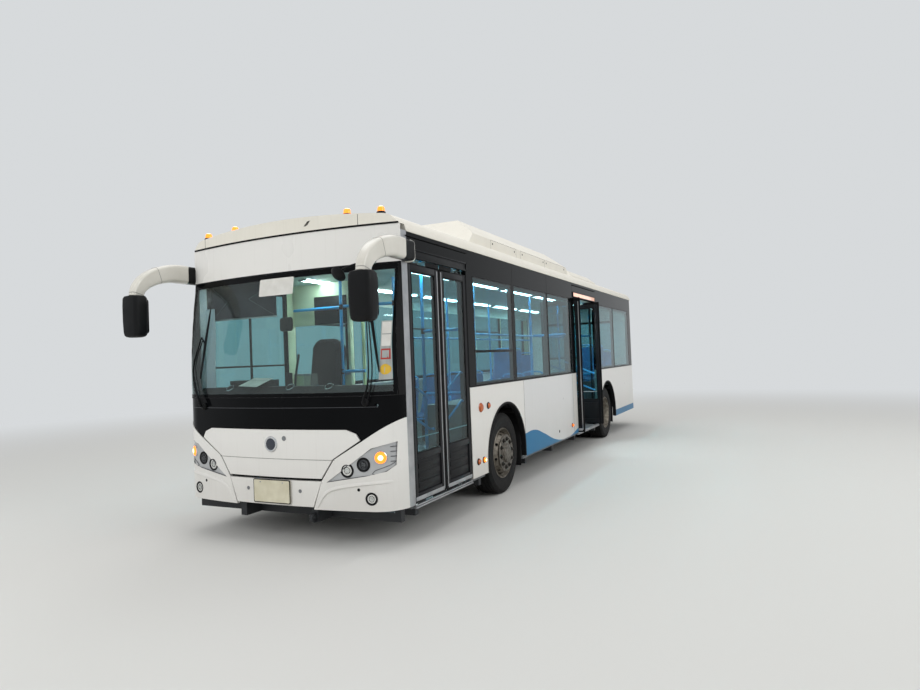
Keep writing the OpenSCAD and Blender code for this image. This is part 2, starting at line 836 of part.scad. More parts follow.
// Steering and axles
eye_h = 120;
pin_r = 22;
hub_r = 95;
spindle_r = 45;
front_wheel_x = wheel_out - tyre_w / 2;
rear_wheel_x = wheel_out - tyre_w / 2 - twin_pitch / 2;
beam_z = 140;
beam_h = 70;
arm_len = 220;
arm_drop = 290;

module front_axle() {
    color("#2b2d30") {
        translate([0, sta(front_axle_s), 0]) {
            translate([-640, -50, beam_z]) cube([1280, 100, beam_h]);
            both_sides() {
                // Rising end of the beam
                rotate([90, 0, 0]) translate([0, 0, -50]) linear_extrude(height = 100)
                    polygon([[560, beam_z], [640, beam_z], [kingpin_x - 50, tyre_r - eye_h / 2],
                        [kingpin_x, tyre_r - eye_h / 2], [kingpin_x, tyre_r + eye_h / 2],
                        [kingpin_x - 70, tyre_r + eye_h / 2], [560, beam_z + beam_h]]);
                translate([kingpin_x, 0, tyre_r - eye_h / 2]) cylinder(r = 50, h = eye_h);
                translate([kingpin_x, 0, tyre_r - 125]) cylinder(r = pin_r, h = 250);
                translate([rail_x - 60, -50, beam_z + beam_h]) cube([120, 100, low_rail_z - beam_z - beam_h]);
            }
        }
    }
}

// A knuckle about its own pivot, with the spindle pointing to +X
module knuckle() {
    fork_r = 44;
    difference() {
        union() {
            for (z = [-eye_h / 2 - 56, eye_h / 2 + 6]) translate([0, 0, z]) {
                cylinder(r = fork_r, h = 50);
                translate([0, -40, 0]) cube([100, 80, 50]);
            }
            translate([62, -48, -eye_h / 2 - 56]) cube([50, 96, eye_h + 112]);
            rotate([0, 90, 0]) translate([0, 0, 62]) cylinder(r = spindle_r, h = front_wheel_x - kingpin_x - 20);
            // Steering arm, dropped below the frame rails
            translate([0, 0, -eye_h / 2 - 80]) cylinder(r = fork_r, h = 30);
            translate([-24, 0, -eye_h / 2 - 80]) cube([48, arm_len - 70, 24]);
            translate([-22, arm_len - 70, -arm_drop]) cube([44, 40, arm_drop - eye_h / 2 - 56]);
            translate([-22, arm_len - 32, -arm_drop]) cube([44, 32, 24]);
            translate([0, arm_len, -arm_drop]) cylinder(r = 28, h = 24);
        }
        translate([0, 0, -eye_h / 2 - 81]) cylinder(r = pin_r + run_fit, h = eye_h + 160);
        translate([0, arm_len, -arm_drop - 1]) cylinder(r = 12 + run_fit, h = 26);
    }
}

module at_kingpin() {
    translate([kingpin_x, sta(front_axle_s), tyre_r]) children();
}

module knuckle_left() {
    color("#3a3d40") at_kingpin() knuckle();
}

module knuckle_right() {
    color("#3a3d40") mirror([1, 0, 0]) at_kingpin() knuckle();
}

module tie_rod() {
    color("#3a3d40") translate([0, sta(front_axle_s) + arm_len, tyre_r - arm_drop]) {
        both_sides() {
            translate([kingpin_x, 0, -22]) cylinder(r = 26, h = 22 - seat_gap);
            translate([kingpin_x, 0, -22]) cylinder(r = 12, h = 46);
        }
        translate([-kingpin_x, 0, -12]) rotate([0, 90, 0]) cylinder(r = 9, h = 2 * kingpin_x);
    }
}

// Tyre profile: x from the middle plane, radius
module tyre(x) {
    shoulder = 34;
    half = tyre_w / 2;
    bead = rim_r - 14 + seat_gap;
    translate([x, 0, 0]) rotate([0, 90, 0]) rotate_extrude($fn = 72) difference() {
        union() {
            translate([tyre_r - shoulder, half - shoulder - 12]) circle(r = shoulder, $fn = 24);
            translate([tyre_r - shoulder, -half + shoulder + 12]) circle(r = shoulder, $fn = 24);
            polygon([[bead, -half + 30], [bead + 60, -half], [tyre_r - 60, -half],
                [tyre_r - shoulder + 24, -half + 22], [tyre_r, -half + shoulder + 12],
                [tyre_r, half - shoulder - 12], [tyre_r - shoulder + 24, half - 22],
                [tyre_r - 60, half], [bead + 60, half], [bead, half - 30]]);
        }
        translate([bead - 10, -half + 50]) square([90, tyre_w - 100]);
    }
}

// Rim with its dished disc: face is the hub flange's and ring the disc edge's distance from the middle plane
module rim(x, face, ring) {
    half = tyre_w / 2 - 28;
    translate([x, 0, 0]) rotate([0, 90, 0]) {
        rotate_extrude($fn = 72) polygon([[rim_r, half + 8], [rim_r - 14, half], [rim_r - 14, half - 26],
            [rim_r - 42, half - 50], [rim_r - 42, -half + 50], [rim_r - 14, -half + 26], [rim_r - 14, -half],
            [rim_r, -half - 8], [rim_r, -half - 16], [rim_r - 24, -half - 14], [rim_r - 44, -half + 30],
            [rim_r - 54, -half + 60], [rim_r - 54, half - 60], [rim_r - 44, half - 30],
            [rim_r - 24, half + 14], [rim_r, half + 16]]);
        difference() {
            rotate_extrude($fn = 72) polygon([[spindle_r + run_fit, face], [196, face], [rim_r - 47, ring],
                [rim_r - 47, ring - 14], [190, face - 14], [spindle_r + run_fit, face - 14]]);
            for (i = [0:7]) rotate([0, 0, 45 * i]) translate([218, 0, -300])
                cylinder(r = 21, h = 600, $fn = 32);
        }
    }
}

// Hub about the wheel's own axis between two X values
module hub(x0, x1, r) {
    translate([x0, 0, 0]) rotate([0, 90, 0]) difference() {
        cylinder(r = r, h = x1 - x0);
        translate([0, 0, -1]) cylinder(r = spindle_r + run_fit, h = x1 - x0 + 2);
    }
}

module nuts(x, circle_r, r, h) {
    for (i = [0:9]) rotate([36 * i, 0, 0]) translate([x, 0, circle_r]) rotate([0, 90, 0])
        cylinder(r = r, h = h, $fn = 24);
}

module front_wheel() {
    translate([0, sta(front_axle_s), tyre_r]) {
        tyre(front_wheel_x);
        rim(front_wheel_x, 118, 60);
        hub(front_wheel_x - 40, front_wheel_x + 118, hub_r);
        nuts(front_wheel_x + 117, 167, 16, 30);
        translate([front_wheel_x + 110, 0, 0]) rotate([0, 90, 0]) cylinder(r = hub_r - 20, h = 50);
    }
}

module rear_wheel() {
    outer_x = wheel_out - tyre_w / 2;
    translate([0, sta(rear_axle_s), tyre_r]) {
        for (x = [outer_x, outer_x - twin_pitch]) tyre(x);
        rim(outer_x, 14 - twin_pitch / 2, -46);
        mirror([1, 0, 0]) rim(twin_pitch - outer_x, 14 - twin_pitch / 2, -46);
        hub(outer_x - twin_pitch + 60, outer_x - 40, hub_r + 20);
        nuts(outer_x + 13 - twin_pitch / 2, 167, 16, 30);
        translate([outer_x - 50, 0, 0]) rotate([0, 90, 0]) cylinder(r = hub_r, h = 30);
    }
}

module front_wheel_left() {
    color("#26272a") front_wheel();
}

module front_wheel_right() {
    color("#26272a") mirror([1, 0, 0]) front_wheel();
}

module rear_wheel_left() {
    color("#26272a") rear_wheel();
}

module rear_wheel_right() {
    color("#26272a") mirror([1, 0, 0]) rear_wheel();
}

module rear_axle() {
    outer_x = wheel_out - tyre_w / 2;
    color("#2b2d30") translate([0, sta(rear_axle_s), tyre_r]) {
        // Spindles, tubes and the drum of the drive in the middle
        rotate([0, 90, 0]) rotate_extrude() polygon([[0, 60 - outer_x], [spindle_r, 60 - outer_x],
            [spindle_r, -560], [48, -560], [48, -150], [130, -90], [130, 90], [48, 150], [48, 560],
            [spindle_r, 560], [spindle_r, outer_x - 60], [0, outer_x - 60]]);
        both_sides() {
            translate([rail_x - 40, -420, -150]) cube([80, 840, 60]);
            translate([rail_x - 40, -60, -100]) cube([80, 120, 80]);
            // Air springs up to the rails
            for (y = [-340, 340]) translate([rail_x, y, -90]) cylinder(r = 105, h = high_rail_z - tyre_r + 90);
        }
    }
}

// Doors. A leaf's own frame: the origin is its pivot, x runs to the doorway's middle, y is inboard
leaf_x = half_w - 25;
post_x = leaf_x - post_in;

function leaf_w(jambs) = (jambs[1] - jambs[0] - leaf_gap) / 2 - jamb_gap;
// Reach of the door arm, so that the open leaf stands out by open_out
function arm_reach(jambs) = (post_x + post_lead + leaf_w(jambs) - half_w - open_out) / 2;

// Places its child at a leaf's pivot: turn is the arm's opening angle
module at_leaf(jambs, turn) {
    reach = arm_reach(jambs);
    rotate([0, 0, turn]) translate([reach, -post_in, 0]) rotate([0, 0, -2 * turn]) children();
}

// Puts a door frame at the first or the last jamb's post
module at_post(jambs, last) {
    s = last ? jambs[1] : jambs[0];
    post_s = jamb_gap - post_lead;
    translate([post_x, sta(s), 0]) mirror([0, last ? 1 : 0, 0]) translate([0, post_s, 0])
        rotate([0, 0, 90]) children();
}

module door_leaf(jambs) {
    near = arm_reach(jambs) - post_lead;
    far = leaf_w(jambs) - near;
    frame = 58;
    panel_top = 420;
    translate([0, 0, leaf_z]) {
        difference() {
            translate([-near, -leaf_t / 2, 0]) cube([near + far - 30, leaf_t, leaf_top_z - leaf_z]);
            translate([-near + frame, -leaf_t, panel_top])
                cube([near + far - 2 * frame - 20, 2 * leaf_t, leaf_top_z - leaf_z - panel_top - 60]);
        }
        // Edge seal, thin at the outer face
        translate([far - 30, -leaf_t / 2, 0]) cube([30, 14, leaf_top_z - leaf_z]);
        // Glass
        translate([-near + frame, -leaf_t / 2 + 6, panel_top])
            cube([near + far - 2 * frame - 20, 6, leaf_top_z - leaf_z - panel_top - 60]);
        // Pivots at top and bottom
        translate([0, 0, -9]) cylinder(r = 8, h = 12);
        translate([0, 0, leaf_top_z - leaf_z - 3]) cylinder(r = 8, h = 12);
        // Slanted inner handrails, each on two stand-offs
        run = near + far - frame - 110;
        fall = 210;
        for (z = [600, 900]) {
            for (end = [0, 1]) translate([-near + frame / 2 + end * run, leaf_t / 2 - 2, z + (1 - end) * fall])
                rotate([-90, 0, 0]) cylinder(r = 9, h = 52);
            translate([-near + frame / 2, leaf_t / 2 + 48, z + fall]) rotate([0, 90 + atan(fall / run), 0])
                cylinder(r = 12, h = norm([run, fall]));
        }
    }
}

arm_t = 14;
// Lower face of the boxes over the doorways that take the posts' tops
header_z = 2555;
seat_gap = 0.3;

module door_arm(jambs) {
    reach = arm_reach(jambs);
    span = norm([reach, post_in]);
    slant = atan2(-post_in, reach);
    translate([0, 0, floor_z + seat_gap]) cylinder(r = post_r, h = header_z - floor_z - 2 * seat_gap);
    for (z = [leaf_z - 7 - arm_t, leaf_top_z + 7]) translate([0, 0, z]) rotate([0, 0, slant]) difference() {
        union() {
            translate([0, -18, 0]) cube([span, 36, arm_t]);
            translate([span, 0, 0]) cylinder(r = 18, h = arm_t);
        }
        translate([span, 0, -1]) cylinder(r = 8 + run_fit, h = arm_t + 2);
    }
}

front_turn = 0;
mid_turn = 90;

module front_door_arm_a() {
    color("#2b2d30") at_post(front_door, false) rotate([0, 0, front_turn]) door_arm(front_door);
}

module front_door_arm_b() {
    color("#2b2d30") at_post(front_door, true) rotate([0, 0, front_turn]) door_arm(front_door);
}

module front_door_leaf_a() {
    color("#1d1f22") at_post(front_door, false) at_leaf(front_door, front_turn) door_leaf(front_door);
}

module front_door_leaf_b() {
    color("#1d1f22") at_post(front_door, true) at_leaf(front_door, front_turn) door_leaf(front_door);
}

module mid_door_arm_a() {
    color("#2b2d30") at_post(mid_door, false) rotate([0, 0, mid_turn]) door_arm(mid_door);
}

module mid_door_arm_b() {
    color("#2b2d30") at_post(mid_door, true) rotate([0, 0, mid_turn]) door_arm(mid_door);
}

module mid_door_leaf_a() {
    color("#1d1f22") at_post(mid_door, false) at_leaf(mid_door, mid_turn) door_leaf(mid_door);
}

module mid_door_leaf_b() {
    color("#1d1f22") at_post(mid_door, true) at_leaf(mid_door, mid_turn) door_leaf(mid_door);
}

// Cabin fittings
// Dashboard: side outline in station and height
dash_outline = [[-nose_reach, 880], [-nose_reach, 1330], [-130, 1345], [0, 1425], [110, 1425], [160, 1370],
    [160, floor_z], [40, floor_z], [40, 880]];

module dashboard() {
    color("#23262a") at_column() translate([0, 0, -460]) cylinder(r = 26, h = 460 - 15 - seat_gap);
    color("#23262a") zone(wheel_at[0] - 230, wheel_at[0] + 260, 150, 330, 860, 1230);
    // Hood over the gauges
    color("#23262a") zone(wheel_at[0] - 200, wheel_at[0] + 290, 30, 200, 1360, 1490);
    color("#23262a") difference() {
        intersection() {
            nose_upright(shell_t + 35);
            translate([-cabin_half, front_y, 0]) rotate([90, 0, 90]) linear_extrude(height = cabin_half + 900)
                polygon(dash_outline);
        }
        // Room for the door leaf that swings in beside it
        zone(700, half_w, 50, 400, floor_z - 1, 1600);
    }
}

wheel_at = [-640, 480, 1230];

// The steering column's frame, with its origin at the wheel's centre
module at_column() {
    translate([wheel_at[0], sta(wheel_at[1]), wheel_at[2]]) rotate([-30, 0, 0]) children();
}

module steering_wheel() {
    color("#1b1c1e") at_column() {
        rotate_extrude($fn = 64) translate([220, 0]) circle(r = 14, $fn = 24);
        for (a = [0, 120, 240]) rotate([0, 0, a + 90]) translate([0, -12, -8]) cube([220, 24, 14]);
        cylinder(r = 50, h = 30, center = true);
    }
}

module driver_seat() {
    color("#202225") translate([-640, sta(1000), cab_z]) {
        translate([-160, -160, 0]) cube([320, 320, 400]);
        translate([0, -20, 400]) linear_extrude(height = 110) soft_square(500, 500, 80);
        translate([0, 130, 460]) rotate([-8, 0, 0]) translate([0, 110, 470]) rotate([90, 0, 0])
            linear_extrude(height = 110) soft_square(480, 900, 130);
    }
}

module partition() {
    color("#c9cbb0") {
        zone(-cabin_half, -350, cab_row[1] + 10, cab_row[1] + 40, floor_z, 1500);
        zone(-380, -350, cab_row[1] + 10, cab_row[1] + 40, 1500, ceiling_z);
        // Board under the ceiling
        zone(-cabin_half + 10, -380, cab_row[1] + 10, cab_row[1] + 40, 2100, ceiling_z);
    }
}

// Passenger seats: station, x of the middle, seat's foot height
seat_table = [for (s = [3350, 4150, 4950, 5750]) [s, -850, 0], [3350, 850, 0], [4150, 850, 0],
    for (x = [-880, 880]) each [[rear_axle_s - 340, x, 2], [rear_axle_s + 310, x, 2], [engine_s - 400, x, 1]]];

module passenger_seats() {
    foot = [floor_z, rear_floor_z, box_top];
    color("steelblue") for (row = seat_table) translate([row[1], sta(row[0]), foot[row[2]]]) {
        lift = row[2] == 2 ? 20 : 380;
        translate([-60, -100, 0]) cube([120, 200, lift + 20]);
        translate([0, 0, lift]) linear_extrude(height = 50) soft_square(420, 420, 60);
        translate([0, 195, lift + 330]) rotate([-10, 0, 0]) rotate([90, 0, 0]) linear_extrude(height = 45)
            soft_square(410, 620, 70);
    }
}

// Upright handrails: station, x, height of the foot
rails_s = [3050, engine_s - 500];
post_table = [[1700, -340, 0], for (x = [-540, 540]) each [[rails_s[0], x, 0], [4400, x, 0],
    [rear_axle_s - 340, x, 1], [rails_s[1], x, 1]], [mid_door[0] - 130, 540, 0], [6100, -540, 0],
    [step_s - 50, 540, 0]];
rail_z = 1950;

module handrails() {
    color("deepskyblue") {
        for (row = post_table) {
            foot = row[2] == 0 ? floor_z : rear_floor_z;
            translate([row[1], sta(row[0]), foot]) cylinder(r = rail_r, h = ceiling_z - foot);
        }
        for (x = [-540, 540]) translate([x, sta(rails_s[0]), rail_z]) rotate([-90, 0, 0])
            cylinder(r = rail_r - 2, h = rails_s[1] - rails_s[0]);
    }
}

module ceiling() {
    color("#d8efe8") {
        zone(-half_w + wall, half_w - wall, 60, body_l - rear_r, ceiling_z, ceiling_z + 30);
        // Boxes over the doorways
        for (jambs = [front_door, mid_door])
            zone(post_x - 60, half_w - wall, jambs[0] - 38, jambs[1] + 50, header_z, ceiling_z);
    }
}

module sun_blind() {
    color("#26232a") {
        zone(-1085, -230, 60, 72, 2120, 2470);
        zone(-230, -30, 60, 100, 1960, 2100);
        zone(-160, -140, 60, 80, 2100, 2470);
        zone(-1085, -30, 60, 90, 2470, ceiling_z);
    }
}

roof_shell();
roof_pod();
rear_roof_unit();
window_band_near();
window_band_off();
skirt_near();
skirt_off();
corner_posts();
front_bumper();
front_band();
screen_frame();
destination_panel();
windscreen();
front_plate();
front_lamps();
marker_lamps();
side_lamps();
mirror_arms();
mirror_heads();
wipers();
side_glass();
rear_panel();
rear_window();
rear_lamps();
floor();
rear_floor();
engine_deck();
wheel_boxes();
driver_platform();
chassis();
cross_members();
engine();
front_axle();
rear_axle();
dashboard();
steering_wheel();
driver_seat();
partition();
passenger_seats();
handrails();
ceiling();
sun_blind();
front_flap();
engine_lid();
knuckle_left();
knuckle_right();
tie_rod();
front_wheel_left();
front_wheel_right();
rear_wheel_left();
rear_wheel_right();
front_door_arm_a();
front_door_arm_b();
front_door_leaf_a();
front_door_leaf_b();
mid_door_arm_a();
mid_door_arm_b();
mid_door_leaf_a();
mid_door_leaf_b();
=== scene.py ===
import json
import math
import bmesh
import bpy
import numpy as np
from mathutils import Matrix, Vector


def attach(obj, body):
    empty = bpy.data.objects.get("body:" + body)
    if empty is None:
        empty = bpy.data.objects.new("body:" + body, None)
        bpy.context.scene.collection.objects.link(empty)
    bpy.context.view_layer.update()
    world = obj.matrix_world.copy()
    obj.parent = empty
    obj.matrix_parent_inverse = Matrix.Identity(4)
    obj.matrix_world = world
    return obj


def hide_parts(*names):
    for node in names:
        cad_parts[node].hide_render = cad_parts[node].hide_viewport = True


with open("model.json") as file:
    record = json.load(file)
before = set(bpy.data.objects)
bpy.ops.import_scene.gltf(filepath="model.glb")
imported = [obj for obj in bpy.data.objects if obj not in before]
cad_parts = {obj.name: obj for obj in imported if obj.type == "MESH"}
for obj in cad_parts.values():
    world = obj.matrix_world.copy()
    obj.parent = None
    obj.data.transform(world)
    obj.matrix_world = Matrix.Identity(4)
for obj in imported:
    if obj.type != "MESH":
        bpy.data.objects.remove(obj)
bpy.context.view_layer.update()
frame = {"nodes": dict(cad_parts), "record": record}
cadNodes = frame["nodes"]
bpy.context.scene.view_settings.view_transform = "Standard"
print("frame loaded")

# Camera, floor, sky and lamps
view = {"place": (4.16, -9.617, 1.64), "yaw": 25.737, "pitch": 1.1, "roll": -2.221, "lens": 25.43}
stage = {"floorRadius": 400.0, "floorHex": "#D6D6D3", "skyHex": "#DFE2E4", "skyLevel": 0.92, "level": 0.55}
lamps = [  # name, place, aim, size in metres, watts
    ("softTop", (0.0, 0.0, 12.0), (0.0, 0.0, 0.0), 14.0, 470.0),
    ("softFront", (-3.0, -15.0, 8.0), (0.0, -3.0, 1.4), 8.0, 560.0),
    ("softSide", (14.0, -4.0, 8.0), (0.0, 0.0, 1.4), 9.0, 620.0),
    ("softBack", (-10.0, 14.0, 9.0), (0.0, 2.0, 1.4), 9.0, 450.0),
]


def linearColour(code, alpha=1.0):  # sRGB hex to linear light
    parts = [int(code[i:i + 2], 16) / 255 for i in (1, 3, 5)]
    return tuple(c / 12.92 if c <= 0.04045 else ((c + 0.055) / 1.055) ** 2.4 for c in parts) + (alpha,)


def addNode(tree, kind, feeds=None, **settings):  # one node, with its settings and what feeds its sockets
    node = tree.nodes.new(kind)
    for key, value in settings.items():
        setattr(node, key, value)
    for key, value in (feeds or {}).items():
        if isinstance(value, bpy.types.NodeSocket):
            tree.links.new(value, node.inputs[key])
        else:
            node.inputs[key].default_value = value
    return node


def emptyMaterial(name):
    mat = bpy.data.materials.new(name)
    mat.use_nodes = True
    mat.node_tree.nodes.clear()
    return mat, mat.node_tree


def finishMaterial(mat, tree, shader):
    addNode(tree, "ShaderNodeOutputMaterial", {"Surface": shader})
    return mat


def placeCamera():
    yaw, pitch, roll = (math.radians(view[k]) for k in ("yaw", "pitch", "roll"))
    ahead = np.array([-math.sin(yaw) * math.cos(pitch), math.cos(yaw) * math.cos(pitch), math.sin(pitch)])
    level = np.array([math.cos(yaw), math.sin(yaw), 0.0])
    lift = np.cross(level, ahead)
    right = level * math.cos(roll) + lift * math.sin(roll)
    up = lift * math.cos(roll) - level * math.sin(roll)
    data = bpy.data.cameras.new("camera")
    data.lens, data.sensor_width, data.sensor_fit, data.clip_end = view["lens"], 36.0, "HORIZONTAL", 900.0
    cam = bpy.data.objects.new("camera", data)
    bpy.context.scene.collection.objects.link(cam)
    axes = np.stack([right, up, -ahead], axis=1)
    cam.matrix_world = Matrix([list(axes[i]) + [view["place"][i]] for i in range(3)] + [[0, 0, 0, 1]])
    bpy.context.scene.camera = cam


def raysShown(tree):  # 1 where the eye, a mirrored ray or a ray through glass meets the surface
    rays = addNode(tree, "ShaderNodeLightPath")
    mirrored = addNode(tree, "ShaderNodeMath", {0: rays.outputs["Is Camera Ray"], 1: rays.outputs["Is Glossy Ray"]},
                       operation="ADD")
    shown = addNode(tree, "ShaderNodeMath", {0: mirrored.outputs[0], 1: rays.outputs["Is Transmission Ray"]},
                    operation="ADD", use_clamp=True)
    return shown.outputs[0]


def buildStage():
    turns = np.linspace(0, 2 * math.pi, 97)[:-1]
    rim = np.stack([np.cos(turns), np.sin(turns), 0 * turns], axis=1) * stage["floorRadius"]
    mesh = bpy.data.meshes.new("studioFloor")
    mesh.from_pydata(rim.tolist(), [], [list(range(96))])
    floor = bpy.data.objects.new("studioFloor", mesh)
    bpy.context.scene.collection.objects.link(floor)
    # matt floor paint, even and pale; beyond 6.5 m it runs into the backdrop's own tone, as a studio cove does
    mat, tree = emptyMaterial("paintedFloor")
    place = addNode(tree, "ShaderNodeTexCoord").outputs["Object"]
    reach = addNode(tree, "ShaderNodeVectorMath", {0: place}, operation="LENGTH")
    fade = addNode(tree, "ShaderNodeMapRange", {"Value": reach.outputs["Value"], "From Min": 6.5,
                                                "From Max": 19.0}, interpolation_type="SMOOTHSTEP")
    shown = raysShown(tree)
    share = addNode(tree, "ShaderNodeMath", {0: fade.outputs[0], 1: shown}, operation="MULTIPLY")
    shader = addNode(tree, "ShaderNodeBsdfDiffuse", {"Color": linearColour(stage["floorHex"])})
    cove = addNode(tree, "ShaderNodeEmission", {"Color": linearColour(stage["skyHex"]),
                                                "Strength": stage["skyLevel"]})
    mix = addNode(tree, "ShaderNodeMixShader", {0: share.outputs[0], 1: shader.outputs[0], 2: cove.outputs[0]})
    mesh.materials.append(finishMaterial(mat, tree, mix.outputs[0]))
    world = bpy.data.worlds.new("studioSky")
    world.use_nodes = True
    tree = world.node_tree
    tree.nodes.clear()
    # the pale backdrop is what the eye, polished metal and glass meet; the rest of the light is the soft level
    shown = raysShown(tree)
    seen = addNode(tree, "ShaderNodeBackground", {"Color": linearColour(stage["skyHex"]),
                                                  "Strength": stage["skyLevel"]})
    lit = addNode(tree, "ShaderNodeBackground", {"Color": linearColour("#FFFFFF"), "Strength": stage["level"]})
    mix = addNode(tree, "ShaderNodeMixShader", {0: shown, 1: lit.outputs[0], 2: seen.outputs[0]})
    addNode(tree, "ShaderNodeOutputWorld", {"Surface": mix.outputs[0]})
    bpy.context.scene.world = world
    for name, place, aim, size, watts in lamps:
        data = bpy.data.lights.new(name, "AREA")
        data.shape, data.size, data.energy = "DISK", size, watts
        lamp = bpy.data.objects.new(name, data)
        back = np.array(place) - np.array(aim)
        back = back / np.linalg.norm(back)
        side = np.cross([0.0, 1.0, 0.0] if abs(back[2]) > 0.9 else [0.0, 0.0, 1.0], back)
        side = side / np.linalg.norm(side)
        axes = np.stack([side, np.cross(back, side), back], axis=1)
        lamp.matrix_world = Matrix([list(axes[i]) + [place[i]] for i in range(3)] + [[0, 0, 0, 1]])
        lamp.visible_glossy = name != "softFront"  # its disc would stand in the windscreen as a pale spot
        bpy.context.scene.collection.objects.link(lamp)


placeCamera()
buildStage()
print("camera and studio placed")


